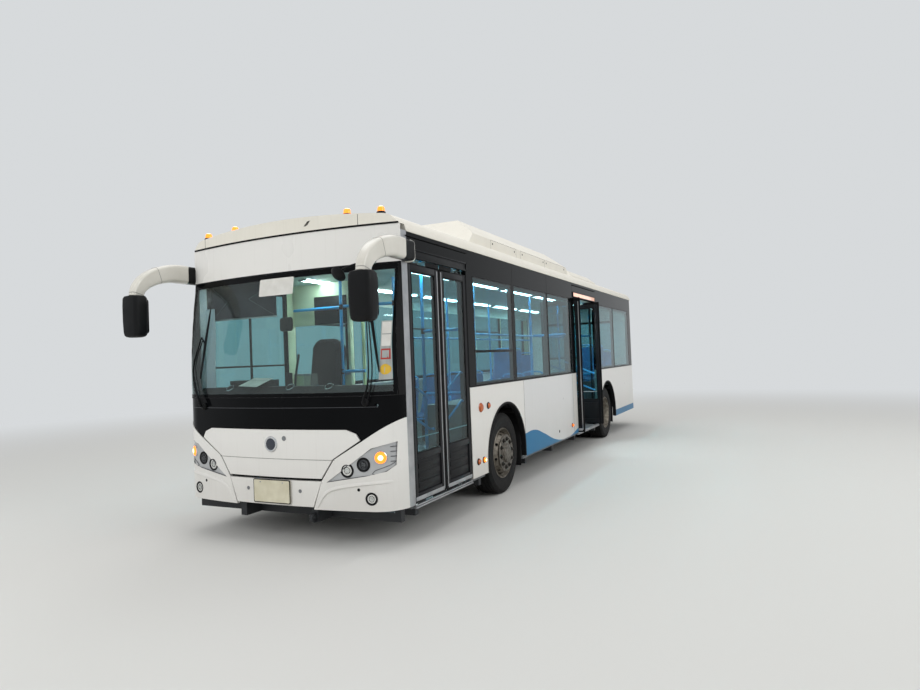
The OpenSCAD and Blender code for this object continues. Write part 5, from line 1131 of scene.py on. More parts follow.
def markerLamps():
    shells = []
    for x in (-1.052, -0.685, 0.685, 1.052):
        z = 2.995 - 12.0 + math.sqrt(144 - x * x)
        y = frontY + 0.012
        shells.append((*lathe([(0, -0.02), (0.046, -0.02), (0.045, 0.006), (0.039, 0.02), (0.036, 0.024), (0, 0.024)],
                              (x, y, z), (0, 0, 1), 28), "texturedAbs"))
        shells.append((*lathe([(0.035, 0.022), (0.034, 0.046), (0.028, 0.064), (0.016, 0.071), (0, 0.073)],
                              (x, y, z), (0, 0, 1), 28), "amberLampBright"))
        shells.append((*lathe([(0.024, 0.0665), (0.014, 0.0725), (0, 0.0745)], (x, y, z), (0, 0, 1), 20), "lampCore"))
    return shells


# Cabin
cabinSet = {"strips": (-0.66, 0.66), "stripRun": (1.0, 9.4), "stripLength": 1.16, "stripGap": 0.24, "stripWidth": 0.1,
            "ceilingZ": 2.6, "railR": 0.0185}


def boxed(x0, x1, s0, s1, z0, z1, finish, soft=0.0):  # a soft-edged block given by x, station and height
    return (*boxShell(x0, x1, frontY + s0, frontY + s1, z0, z1, soft), finish)


def ceilingStrips():
    # two rows of long lamps with aluminium ends, a hair below the ceiling
    c = cabinSet
    shells = []
    for x in c["strips"]:
        s = c["stripRun"][0]
        while s < c["stripRun"][1]:
            w, z = c["stripWidth"] / 2, c["ceilingZ"]
            ring = np.array([(-w, 0.0), (-w, -0.008), (-w * 0.7, -0.016), (w * 0.7, -0.016), (w, -0.008), (w, 0.0)])
            rings = [[[x + a, frontY + q, z + b] for a, b in ring] for q in (s, s + c["stripLength"])]
            shells.append((*loft(rings), "tubeGlow"))
            for q in (s - 0.012, s + c["stripLength"]):
                shells.append(boxed(x - w - 0.006, x + w + 0.006, q, q + 0.012, z - 0.02, z, "anodisedAluminium", 0.002))
            s += c["stripLength"] + c["stripGap"]
    return shells


def coveLining():
    # curved lining between wall and ceiling, broken over the doorways
    turns = np.linspace(0, math.pi / 2, 9)
    section = np.stack([1.198 - 0.24 * (1 - np.cos(turns)), 2.455 + 0.145 * np.sin(turns)], axis=1)
    shells = []
    for sign, runs in ((1, ((1.42, 5.34), (6.9, 9.95))), (-1, ((1.52, 9.95),))):
        for s0, s1 in runs:
            face = np.vstack([section, section[::-1] + [0.004, 0.004]])
            rings = [[[sign * a, frontY + s, b] for a, b in face] for s in (s0, s1)]
            shells.append(outward(loft(rings)) + ("paleLaminate",))
    return shells


windowTable = {1: [(1.5, 2.62, 1.35), (2.74, 4.02, 1.35), (4.08, 5.23, 1.35), (6.96, 8.24, 1.35), (8.3, 9.7, 1.35)],
               -1: [(0.19, 1.34, 1.3), (1.5, 2.62, 1.35), (2.74, 4.02, 1.35), (4.08, 5.36, 1.35), (5.42, 6.82, 1.35),
                    (6.96, 8.24, 1.35), (8.3, 9.7, 1.35)]}


def wallLining():
    # laminate on the inner side of the walls: one panel under the windows, one pillar between each pair
    shells = []
    for sign, table in windowTable.items():
        a, b = sorted((sign * 1.1965, sign * 1.1995))
        edges = [0.16 if sign < 0 else 1.36] + [v for s0, s1, z in table for v in (s0 - 0.01, s1 + 0.01)] + [9.98]
        for s0, s1 in zip(edges[0::2], edges[1::2]):
            if sign > 0 and s0 < 6.0 < s1:  # leave the doorway open
                shells += [boxed(a, b, s0, 5.36, 1.3, 2.52, "paleGreenPanel"),
                           boxed(a, b, 6.88, s1, 1.3, 2.52, "paleGreenPanel")]
            elif s1 - s0 > 0.02:
                shells.append(boxed(a, b, s0, s1, 1.3, 2.52, "paleGreenPanel"))
        for s0, s1 in (((1.36, 5.36), (6.88, 9.98)) if sign > 0 else ((0.16, 9.98),)):
            shells.append(boxed(a, b, s0, s1, 2.52, 2.6, "paleGreenPanel"))
            for t0, t1, z in ((s0, min(s1, 1.7), 0.345), (2.96, min(s1, 6.9), 0.345), (8.24, s1, 0.65)):
                if t1 > max(t0, s0) + 0.05:
                    shells.append(boxed(a, b, max(t0, s0), t1, z, 1.3, "greyWallSheet"))
            shells.append(boxed(a - 0.004, b + 0.004, s0, s1, 1.285, 1.31, "anodisedAluminium", 0.002))
    return shells


def grabRails():
    # blue tubes round the driver's place, and the guard frames beside the doorways
    r = cabinSet["railR"]
    runs = [[(-1.13, 1.40, 2.29), (-0.43, 1.40, 2.29)], [(-0.43, 1.40, 0.6), (-0.43, 1.40, 2.6)],
            [(-0.43, 1.42, 2.3), (0.23, 1.52, 2.3)], [(-0.74, 1.38, 1.53), (-0.43, 1.38, 1.53), (-0.12, 1.40, 1.53)],
            [(0.23, 1.52, 0.338), (0.23, 1.52, 2.6)],
            [(1.10, 1.48, 0.338), (1.10, 1.48, 0.9), (1.10, 1.48, 1.95)], [(1.15, 1.48, 1.25), (0.62, 1.48, 1.25)],
            [(0.62, 1.48, 0.338), (0.62, 1.48, 2.6)], [(0.62, 1.48, 1.95), (1.15, 1.48, 1.95)]]
    for s in (5.26, 6.93):
        runs += [[(0.6, s, 1.25), (1.15, s, 1.25)], [(0.6, s, 1.95), (1.15, s, 1.95)]]
    shells = []
    for run in runs:
        path = curved([(x, frontY + s, z) for x, s, z in run], 6)
        shells.append((*sweep(path, r, 14), "blueCoatedTube"))
    for x, s, z in ((-0.43, 1.40, 2.29), (-0.43, 1.38, 1.53), (0.23, 1.52, 2.3), (0.62, 1.48, 1.25),
                    (0.62, 1.48, 1.95)):
        shells.append((*lathe([(0, -0.03), (r + 0.004, -0.03), (r + 0.006, -0.02), (r + 0.006, 0.02),
                               (r + 0.004, 0.03), (0, 0.03)], (x, frontY + s, z), (0, 0, 1), 18), "texturedAbs"))
    green = np.array([(-0.236, frontY + 1.56, z) for z in np.linspace(0.338, 2.6, 9)])
    shells.append((*sweep(green, 0.02, 16), "paleGreenTube"))
    return [outward(s[:2]) + s[2:] for s in shells]


def partitionBoard():
    # dark board high behind the driver, and the frame round the lower panel
    shells = [boxed(-0.86, -0.38, 1.446, 1.4495, 2.1, 2.44, "satinBlackPanel", 0.001),
              boxed(-0.86, -0.38, 1.4805, 1.484, 2.1, 2.44, "satinBlackPanel", 0.001)]
    for q in ((-1.198, -0.352, 1.49, 1.512), (-1.198, -0.352, 0.62, 0.64)):
        shells.append(boxed(q[0], q[1], 1.44, 1.49, q[2], q[3], "anodisedAluminium", 0.003))
    return shells


# Passenger seats: station, x of the middle, foot height, lift; low and high ones as the cabin's floor asks
seatRows = ([(s, -0.85, 0.338, 0.38) for s in (3.35, 4.15, 4.95, 5.75)] + [(s, 0.85, 0.338, 0.38) for s in (3.35, 4.15)]
            + [(s, x, z, lift) for x in (-0.88, 0.88) for s, z, lift in ((7.25, 1.103, 0.02), (7.90, 1.103, 0.02),
                                                                        (8.6, 0.64, 0.38))])


def passengerSeats():
    # moulded shells: a dished pan and a waisted, curved back, each a loft of crowned sections, on a steel post
    shells = []
    for s, x, z, lift in seatRows:
        y, top = frontY + s, z + lift
        v = np.linspace(0, 1, 9)
        pan = []
        for t in v:  # front edge rolled down, rear edge turned up into the back
            w = 0.205 * (1 - 0.12 * (2 * t - 1) ** 4)
            height = top + 0.03 - 0.03 * (1 - t) ** 4 + 0.03 * t ** 4
            u = np.linspace(-1, 1, 11)
            upper = np.column_stack([x + w * u, np.full(11, y - 0.2 + 0.4 * t), height + 0.014 * u ** 4 - 0.008 * (1 - u ** 2)])
            lower = upper[::-1] - [0, 0, 0.02]
            pan.append(np.vstack([upper, lower]))
        shells.append(outward(loft(pan)) + ("blueMouldedPlastic",))
        back = []
        for t in v:
            w = 0.2 * (1 - 0.1 * math.sin(math.pi * min(1, 1.2 * t)) - 0.14 * t ** 6)
            lean = 0.175 + 0.095 * t + 0.03 * math.sin(math.pi * t)
            u = np.linspace(-1, 1, 11)
            front = np.column_stack([x + w * u, y + lean - 0.022 * u ** 4, np.full(11, top + 0.06 + 0.56 * t)])
            rear = front[::-1] + [0, 0.02, 0]
            back.append(np.vstack([front, rear]))
        shells.append(outward(loft(back)) + ("blueMouldedPlastic",))
        shells.append(boxed(x - 0.05, x + 0.05, s - 0.08, s + 0.08, z, top + 0.02, "powderCoatedSteel", 0.01))
        shells.append(boxed(x - 0.17, x + 0.17, s - 0.16, s + 0.15, top - 0.006, top + 0.012, "powderCoatedSteel",
                            0.006))
        grip = curved([(x - 0.15, y + 0.285, top + 0.56), (x - 0.13, y + 0.30, top + 0.655),
                       (x + 0.13, y + 0.30, top + 0.655), (x + 0.15, y + 0.285, top + 0.56)], 6)
        shells.append(outward(sweep(grip, 0.0125, 10)) + ("blueCoatedTube",))
    return shells


# Driver's place
driverSet = {"cushion": (-0.64, 0.98, 1.055, 0.47, 0.47, 0.095), "backTilt": 8.0, "voxel": 0.006, "pressure": 4.0,
             "frames": 20, "cap": 0.016, "shrink": 0.988}


def puffed(name, shell, cap):
    # copy, voxel remesh, air pressure for twenty frames, movement capped, then one subdivision
    mesh = bpy.data.meshes.new(name)
    mesh.from_pydata(shell[0].tolist(), [], shell[1])
    piece = bpy.data.objects.new(name, mesh)
    bpy.context.scene.collection.objects.link(piece)
    bpy.context.view_layer.objects.active = piece
    remesh = piece.modifiers.new("evenSkin", "REMESH")
    remesh.mode, remesh.voxel_size = "VOXEL", driverSet["voxel"] * 1.0
    graph = bpy.context.evaluated_depsgraph_get()
    skin = bpy.data.meshes.new_from_object(piece.evaluated_get(graph), depsgraph=graph)
    piece.modifiers.clear()
    piece.data = skin
    start = np.empty(len(skin.vertices) * 3)
    skin.vertices.foreach_get("co", start)
    cloth = piece.modifiers.new("airFilled", "CLOTH")
    cloth.settings.use_pressure = True
    cloth.settings.uniform_pressure_force = driverSet["pressure"]
    cloth.settings.effector_weights.gravity = 0.0
    cloth.point_cache.frame_start, cloth.point_cache.frame_end = 1, driverSet["frames"]
    for number in range(1, driverSet["frames"] + 1):
        bpy.context.scene.frame_set(number)
    graph = bpy.context.evaluated_depsgraph_get()
    swollen = bpy.data.meshes.new_from_object(piece.evaluated_get(graph), depsgraph=graph)
    end = np.empty(len(swollen.vertices) * 3)
    swollen.vertices.foreach_get("co", end)
    step = (end - start).reshape(-1, 3)
    size = np.linalg.norm(step, axis=1)[:, None]
    step *= np.minimum(1.0, cap / np.maximum(size, 1e-9))
    skin.vertices.foreach_set("co", (start.reshape(-1, 3) + step).ravel())
    piece.modifiers.clear()
    bpy.context.scene.frame_set(1)
    sub = piece.modifiers.new("smoothSkin", "SUBSURF")
    sub.levels = sub.render_levels = 1
    skin.polygons.foreach_set("use_smooth", [True] * len(skin.polygons))
    skin.materials.clear()
    skin.materials.append(finishes["seatCloth"])
    skin.update()
    return piece


def seatPad(outline, thick, place):
    # a pad: its outline drawn in at both faces, crowned in the middle, as rings from back to front
    rings = []
    for lift, scale in ((-0.5, 0.90), (-0.46, 0.95), (-0.25, 0.99), (0.15, 1.0), (0.38, 0.97), (0.5, 0.9)):
        rings.append(np.column_stack([outline * scale, np.full(len(outline), lift * thick)]))
    return moved(loft(rings), place)


def driverSeat():
    tilt = math.radians(driverSet["backTilt"])
    base = frontY + 1.0
    cushion = seatPad(softRect(0.47, 0.47, 0.08, 6), 0.1, placed((-0.64, base - 0.02, 1.057)))
    bolsters = [seatPad(softRect(0.075, 0.42, 0.035, 5), 0.06, placed((-0.64 + x, base - 0.02, 1.106)))
                for x in (-0.185, 0.185)]
    # back: long rounded pad, its top shoulder rounder than its foot, leaning back
    up = np.array([0.0, math.sin(tilt), math.cos(tilt)])
    front = np.array([0.0, -math.cos(tilt), math.sin(tilt)])
    middle = np.array([-0.64, base + 0.13, 1.06]) + up * 0.47 - front * 0.165
    line = softRect(0.455, 0.87, 0.12, 8)
    line = line * np.column_stack([1.0 - 0.16 * np.clip(line[:, 1] / 0.435, 0, 1) ** 3, np.ones(len(line))])
    back = seatPad(line, 0.1, placed(middle, (1, 0, 0), up, front))
    pieces = [puffed("driverCushion", cushion, 0.010), puffed("driverBack", back, 0.012)]
    for piece in pieces:
        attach(piece, "body")
    shells = [(*b, "seatCloth") for b in bolsters]
    # gathered bellows over the seat's spring, its plate, slides, shell and belt reel
    rows = [(0.15 + 0.012 * (k % 2), 0.60 + 0.36 * k / 14) for k in range(15)]
    rings = [[[-0.64 + a, base + b, z] for a, b in softRect(2 * w, 2 * w, 0.05, 4)] for w, z in rows]
    shells.append((*loft(rings), "epdmRubber"))
    shells.append((*boxShell(-0.82, -0.46, base - 0.19, base + 0.17, 0.962, 1.0, 0.008), "powderCoatedSteel"))
    shells.append((*boxShell(-0.86, -0.42, base - 0.23, base - 0.2, 0.985, 1.0, 0.006), "texturedAbs"))
    plate = seatPad(softRect(0.44, 0.80, 0.12, 6), 0.025, placed(middle - front * 0.062, (1, 0, 0), up, front))
    shells.append((*plate, "texturedAbs"))
    belt = curved([(-0.85, base + 0.12, 1.75), (-0.862, base + 0.06, 1.45), (-0.868, base + 0.05, 1.15)], 6)
    shells.append((*sweep(belt, 0.02, 8, 0.12), "texturedAbs"))
    seat = addPiece("driverSeatFrame", [outward(s[:2]) + s[2:] for s in shells])
    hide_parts("driver_seat")
    for piece in pieces:
        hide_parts("driver_seat")


def blindAndMirror():
    # the pulled-down blind is cloth; its roller, scissor arms and the inner mirror are its fittings
    w, drop = 0.85, 0.345
    u, v = np.meshgrid(np.linspace(0, 1, 49), np.linspace(0, 1, 25), indexing="ij")
    x = -1.083 + w * u
    z = 2.468 - drop * v
    # sag of the cloth between its arms: a few millimetres, strongest in the middle of the drop
    y = frontY + 0.066 + 0.004 * np.sin(math.pi * v) * np.sin(2 * math.pi * u) + 0.002 * np.sin(5 * math.pi * u) * v
    points = np.stack([x, y, z], axis=-1).reshape(-1, 3)
    i, j = np.meshgrid(np.arange(48), np.arange(24), indexing="ij")
    k = i * 25 + j
    quads = np.stack([k, k + 25, k + 26, k + 1], axis=-1).reshape(-1, 4).tolist()
    cloth = addPiece("blindCloth", [(points, quads, "blindWeave")])
    wall = cloth.modifiers.new("clothWall", "SOLIDIFY")
    wall.thickness, wall.offset = 0.0012, 0.0
    y0 = frontY
    shells = [(*lathe([(0, 0), (0.019, 0), (0.019, 0.885), (0, 0.885)], (-1.1, y0 + 0.072, 2.487), (1, 0, 0), 20),
               "texturedAbs"),
              (*boxShell(-1.105, -0.21, y0 + 0.05, y0 + 0.094, 2.505, 2.598, 0.006), "satinBlackPanel"),
              (*boxShell(-1.083, -0.233, y0 + 0.061, y0 + 0.071, 2.112, 2.126, 0.003), "anodisedAluminium")]
    for path in ([(-1.07, 2.45), (-0.87, 2.30), (-1.06, 2.135)], [(-0.25, 2.45), (-0.58, 2.31), (-0.26, 2.135)]):
        line = np.array([(a, y0 + 0.056, b) for a, b in path])
        for k in range(2):
            run = line[k] + (line[k + 1] - line[k]) * np.linspace(0, 1, 6)[:, None]
            shells.append((*sweep(run, 0.0035, 8), "satinGreyEdge"))
    # inner mirror, turned a little to the driver, on its arm
    a = math.radians(-14)
    place = placed((-0.126, y0 + 0.078, 2.03), (math.cos(a), math.sin(a), 0), (-math.sin(a), math.cos(a), 0))
    rings = [np.column_stack([softRect(0.188 * k, 0.136 * k, 0.028 * k, 5)[:, 0], np.full(24, d),
                              softRect(0.188 * k, 0.136 * k, 0.028 * k, 5)[:, 1]])
             for d, k in ((-0.016, 0.86), (-0.013, 0.96), (-0.002, 1.0), (0.008, 0.99), (0.01, 0.95))]
    shells.append((*moved(loft(rings), place), "texturedAbs"))
    arm = curved([(-0.126, y0 + 0.083, 2.09), (-0.14, y0 + 0.088, 2.2), (-0.15, y0 + 0.075, 2.42),
                  (-0.15, y0 + 0.072, 2.598)], 6)
    shells.append((*sweep(arm, 0.0075, 12), "texturedAbs"))
    fittings = addPiece("blindFittings", [outward(s[:2]) + s[2:] for s in shells], replaces=("sun_blind",))
    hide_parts("sun_blind")


def sideCurtain():
    # narrow gathered curtain of pale tinsel cloth beside the driver: pleats 18 mm apart, fuller at its foot
    w, drop = 0.13, 0.86
    u, v = np.meshgrid(np.linspace(0, 1, 73), np.linspace(0, 1, 29), indexing="ij")
    fold = 0.009 * (0.6 + 0.4 * v)
    x = -1.152 + w * u + 0.004 * np.sin(9 * v + 5 * u)
    y = frontY + 0.035 + fold * np.sin(2 * math.pi * 7 * u + 0.5 * np.sin(4 * v)) - 0.02 * v
    z = 2.24 - drop * v
    points = np.stack([x, y, z], axis=-1).reshape(-1, 3)
    i, j = np.meshgrid(np.arange(72), np.arange(28), indexing="ij")
    k = i * 29 + j
    quads = np.stack([k, k + 29, k + 30, k + 1], axis=-1).reshape(-1, 4).tolist()
    cloth = addPiece("sideCurtain", [(points, quads, "tinselCloth")])
    wall = cloth.modifiers.new("clothWall", "SOLIDIFY")
    wall.thickness, wall.offset = 0.001, 0.0


def screenLaid(outline, finish, proud=0.0006, depth=0.0016, step=0.05):
    return (*drape(outline, wrapPlan, proud, depth, step), finish)


def screenPatch(x0, x1, z0, z1, finish, proud, depth=0.001):
    across, up = max(2, int((x1 - x0) / 0.02)), max(2, int((z1 - z0) / 0.03))
    return gridShell(np.linspace(x0, x1, across + 1), np.linspace(z0, z1, up + 1), wrapPlan, proud, depth) + (finish,)


def screenPanes():
    # bent laminated pane that runs round both corners, and the rubber it is bonded in
    addPiece("wrapScreen", [gridShell(np.linspace(-1.222, 1.222, 123), np.linspace(1.343, 2.497, 41), wrapPlan, 0.0,
                                      0.006) + ("laminatedGlass",)], replaces=("windscreen",))
    shells = [screenPatch(-1.243, 1.243, 2.446, 2.512, "epdmRubber", -0.0065, 0.026),
              screenPatch(-1.243, 1.243, 1.336, 1.378, "epdmRubber", -0.0065, 0.026),
              screenPatch(-1.243, 1.243, 2.4985, 2.512, "epdmRubber", -0.0005, 0.02),
              screenPatch(-1.243, 1.243, 1.336, 1.3425, "epdmRubber", 0.0005, 0.02)]
    for sign in (1, -1):
        for a, b, proud, depth in ((1.196, 1.243, -0.0065, 0.02), (1.2235, 1.2465, 0.0005, 0.024)):
            x0, x1 = sorted((sign * a, sign * b))
            shells.append(screenPatch(x0, x1, 1.338, 2.51, "epdmRubber", proud, depth))
        x0, x1 = sorted((sign * 1.03, sign * 1.196))
        shells.append(screenPatch(x0, x1, 1.345, 1.43, "texturedAbs", -0.009, 0.03))  # end of the dash in the corner
    addPiece("screenSurround", shells, replaces=("screen_frame",))


def screenDress():
    # ceramic edge print of the pane, the bare white sign and the bare strip of passes, all behind its face
    shells = []
    edge, top, low = 1.221, 2.496, 1.344
    for q in ((-edge, edge, top - 0.05, top), (-edge, edge, low, low + 0.03), (-edge, 0.022 - edge, low + 0.03, top -
              0.05), (edge - 0.022, edge, low + 0.03, top - 0.05)):
        shells.append(screenPatch(*q, "blackGlossLacquer", 0.0006, 0.0016))
    sign = softRect(0.41, 0.163, 0.014, 5) + [-0.031, 2.3715]
    shells.append(screenLaid([tuple(p) for p in sign], "paperWhite", 0.0014, 0.0012))
    strip = ((1.10, 1.197, 1.477, 1.985, "passGrey", 0.0010), (1.108, 1.19, 1.765, 1.865, "paperWhite", 0.0016),
             (1.108, 1.19, 1.875, 1.975, "paperWhite", 0.0016), (1.108, 1.19, 1.65, 1.742, "stickerRed", 0.0016),
             (1.118, 1.18, 1.664, 1.728, "passGrey", 0.0021))
    for x0, x1, z0, z1, finish, proud in strip:
        shells.append(screenPatch(x0, x1, z0, z1, finish, proud, 0.0008))
    turns = np.linspace(0, 2 * math.pi, 33)[:-1]
    shells.append(screenLaid([(1.15 + 0.042 * math.cos(t), 1.565 + 0.046 * math.sin(t)) for t in turns],
                             "stickerYellow", 0.0016, 0.0008, 0.02))
    return shells


def dashTop():
    # round vents in bright rings, papers, a small holder and the low wall at the screen's foot
    shells = []
    for x, s in ((-0.03, -0.01), (0.43, -0.01), (-0.8, -0.01)):
        at = (x, frontY + s, dashHeight(s))
        shells.append((*lathe([(0, 0), (0.044, 0), (0.046, 0.004), (0.042, 0.008), (0.034, 0.006), (0.033, 0.002),
                               (0, 0.002)], at, (0, -0.6, 0.8), 30), "chromedRing"))
        shells.append((*lathe([(0, 0.001), (0.032, 0.001), (0.03, 0.004), (0.012, 0.006), (0, 0.006)], at,
                              (0, -0.6, 0.8), 24), "texturedAbs"))
    sheet = np.array([(-0.13, -0.09), (0.13, -0.12), (0.15, 0.09), (-0.11, 0.11)])
    rings = [[[-0.47 + a, frontY - 0.01 + b, dashHeight(0.03) + 0.006 + 0.35 * (b + 0.12) + d] for a, b in sheet]
             for d in (0.0, 0.002)]
    shells.append(outward(loft(rings)) + ("paperWhite",))
    shells.append(boxed(-0.14, -0.06, 0.05, 0.07, dashHeight(0.0), dashHeight(0.0) + 0.13, "texturedAbs", 0.008))
    shells.append(boxed(0.13, 0.29, 0.0, 0.003, dashHeight(0.0), dashHeight(0.0) + 0.12, "clearSheet"))
    return shells


def dashHeight(s):  # height of the dashboard's top at a station
    return float(np.interp(s, (-0.33, -0.13, 0.0, 0.11, 0.16), (1.33, 1.345, 1.425, 1.425, 1.37)))


# Wheels
wheelSet = {"tyreR": 0.4775, "halfWidth": 0.1375, "beadR": 0.286, "grooves": (-0.075, -0.026, 0.026, 0.075),
            "grooveWidth": 0.011, "grooveDepth": 0.009, "nutCircle": 0.167, "outerX": 1.0565, "twinPitch": 0.312,
            "steps": 96}


def tyreShell(x):
    # section of the tyre turned about the axle: beads, ribbed sidewalls, square shoulders, grooved tread
    w = wheelSet
    R, h, b = w["tyreR"], w["halfWidth"], w["beadR"]
    side = [(b, h - 0.034), (b + 0.004, h - 0.022), (b + 0.02, h - 0.010), (b + 0.034, h - 0.006),
            (b + 0.036, h - 0.0035), (b + 0.042, h - 0.0035), (b + 0.044, h - 0.005), (b + 0.075, h - 0.0005),
            (b + 0.11, h), (R - 0.062, h - 0.0015), (R - 0.058, h - 0.0005), (R - 0.05, h - 0.0005),
            (R - 0.046, h - 0.003), (R - 0.03, h - 0.008), (R - 0.026, h - 0.012), (R - 0.008, h - 0.0185),
            (R - 0.001, h - 0.026)]
    tread = []
    for g in w["grooves"][::-1]:
        half = w["grooveWidth"] / 2
        tread += [(R, g + half), (R - w["grooveDepth"], g + half * 0.6), (R - w["grooveDepth"], g - half * 0.6),
                  (R, g - half)]
    back = [(r, -q) for r, q in side[::-1]]
    inner = [(b, -h + 0.034), (b + 0.02, -h + 0.06), (b + 0.02, h - 0.06)]
    profile = side + tread + back + inner[1:]
    ring = np.array(profile)
    turns = np.linspace(0, 2 * math.pi, w["steps"] + 1)[:-1]
    rings = np.stack([np.column_stack([x + ring[:, 1], math.cos(t) * ring[:, 0], math.sin(t) * ring[:, 0]])
                      for t in turns])
    return outward(loft(rings, closed=True)) + ("tyreRubber",)


def turnedX(profile, steps=72):  # (radius, x) pairs turned about the axle line, closed on itself
    ring = np.array(profile)
    turns = np.linspace(0, 2 * math.pi, steps + 1)[:-1]
    rings = np.stack([np.column_stack([ring[:, 1], math.cos(t) * ring[:, 0], math.sin(t) * ring[:, 0]])
                      for t in turns])
    return outward(loft(rings, closed=True))


def rimShell(x, out, discX, front):
    # rim, its lips and the wheel disc: one closed section; out is the outer side; discX is not used
    h = wheelSet["halfWidth"]
    lip = [(0.296, h - 0.021), (0.298, h - 0.014), (0.2935, h - 0.009), (0.287, h - 0.011), (0.284, h - 0.022),
           (0.268, h - 0.044), (0.252, h - 0.074), (0.249, 0.0), (0.252, -h + 0.074), (0.268, -h + 0.044),
           (0.284, -h + 0.022), (0.287, -h + 0.011), (0.2935, -h + 0.009), (0.298, -h + 0.014),
           (0.296, -h + 0.021), (0.262, -h + 0.05), (0.257, 0.0), (0.262, h - 0.05)]
    shells = [turnedX([(r, x + out * q) for r, q in lip]) + ("rimPaint",)]
    if front:
        # the disc runs from the rim's inside out to its proud bolting face
        disc = [(0.252, 0.06), (0.246, 0.078), (0.232, 0.108), (0.216, 0.134), (0.204, 0.148), (0.196, 0.1535),
                (0.13, 0.1545), (0.118, 0.151), (0.118, 0.141), (0.19, 0.141), (0.204, 0.128), (0.224, 0.098),
                (0.238, 0.07), (0.246, 0.046)]
    else:
        disc = [(0.252, -0.05), (0.244, -0.064), (0.226, -0.098), (0.206, -0.126), (0.196, -0.136), (0.13, -0.138),
                (0.118, -0.136), (0.118, -0.15), (0.198, -0.15), (0.214, -0.14), (0.236, -0.104), (0.25, -0.07)]
    shells.append(turnedX([(r, x + out * q) for r, q in disc]) + ("rimPaint",))
    return shells


def wheelParts(front):
    # the whole wheel about the axle line at the origin, outer side towards +x
    w = wheelSet
    x = w["outerX"]
    shells = [tyreShell(x)] + rimShell(x, 1, 0, front)
    if not front:
        shells += [tyreShell(x - w["twinPitch"])] + rimShell(x - w["twinPitch"], -1, 0, False)
    face = x + (0.1545 if front else -0.136)
    # hand holes: dark openings with a rolled edge, laid on the disc's slope
    slope, r = (np.array([0.52, 0.85]), 0.2235) if front else (np.array([0.62, 0.78]), 0.222)
    base = x + (0.121 if front else -0.1035)
    for k in range(8):
        t = math.radians(45 * k + 12)
        radial = np.array([0.0, math.cos(t), math.sin(t)])
        axis = np.array([slope[0], 0, 0]) + radial * slope[1]
        at = np.array([base, 0, 0]) + radial * r
        shells.append(outward(lathe([(0, -0.004), (0.0205, -0.004), (0.0215, 0.001), (0.019, 0.0025), (0.0168, 0.0008),
                                     (0, 0.0008)], at, axis, 24)) + ("rimPaint",))
        shells.append(outward(lathe([(0, 0.0006), (0.0166, 0.0006), (0.0158, 0.0016), (0, 0.0016)], at, axis, 24))
                      + ("deepShadow",))
    # ten studs and nuts on a bright ring plate with round cut-outs
    if front:
        plate = [(0.218, 0.002), (0.219, 0.008), (0.2145, 0.012), (0.206, 0.0125), (0.122, 0.0125), (0.116, 0.010),
                 (0.116, 0.001)]
        shells.append(turnedX([(r, face + q) for r, q in plate]) + ("nutRingSteel",))
        lift = 0.0127
    else:
        lift = 0.002
    for k in range(10):
        t = math.radians(36 * k + 8)
        at = np.array([face + lift, math.cos(t) * w["nutCircle"], math.sin(t) * w["nutCircle"]])
        if front:
            shells.append(outward(lathe([(0, -0.001), (0.0262, -0.001), (0.0262, 0.0007), (0, 0.0007)], at, (1, 0, 0),
                                        24)) + ("deepShadow",))
        shells.append(outward(lathe([(0, 0), (0.0175, 0), (0.0172, 0.014), (0.0145, 0.0175), (0.0105, 0.0178),
                                     (0.0105, 0.026), (0.0085, 0.028), (0, 0.028)], at, (1, 0, 0), 6)) + ("nutSteel",))
    # hub: stepped drum, domed cap with its lip and eight small screws
    if front:
        hub = [(0, -0.16), (0.122, -0.16), (0.122, 0.012), (0.112, 0.02), (0.107, 0.036), (0.1, 0.042), (0.088, 0.044),
               (0.08, 0.046), (0.062, 0.0475), (0.05, 0.0435), (0, 0.043)]
    else:
        hub = [(0, -0.02), (0.118, -0.02), (0.118, 0.03), (0.112, 0.042), (0.1, 0.052), (0.088, 0.055), (0.082, 0.075),
               (0.062, 0.082), (0, 0.083)]
    shells.append(outward(lathe(hub, (face - 0.004, 0, 0), (1, 0, 0), 56)) + ("nutRingSteel",))
    for k in range(8):
        t = math.radians(45 * k)
        at = np.array([face - 0.004 + (0.040 if front else 0.052), math.cos(t) * 0.096, math.sin(t) * 0.096])
        shells.append(outward(lathe([(0, 0), (0.006, 0), (0.006, 0.006), (0, 0.007)], at, (1, 0, 0), 6))
                      + ("nutSteel",))
    return shells


def wheels():
    for end, axleY, front in (("front", frontAxleY, True), ("rear", rearAxleY, False)):
        shells = wheelParts(front)
        for side, sign in (("left", 1), ("right", -1)):
            place = placed((0, axleY, wheelZ), (sign, 0, 0))
            made = [moved(s[:2], place) + s[2:] for s in shells]
            name = end + "_wheel_" + side
            addPiece(end + side.capitalize() + "Wheel", made, wheelBody(name), angle=32, replaces=(name,))


def wheelBody(name):  # the body that carries a wheel's node
    return next(b for b, nodes in frame["record"]["behaviour"]["bodies"].items() if name in nodes)


# Doorway headers
headerSet = {"lampZ": (2.566, 2.628), "out": 0.014}


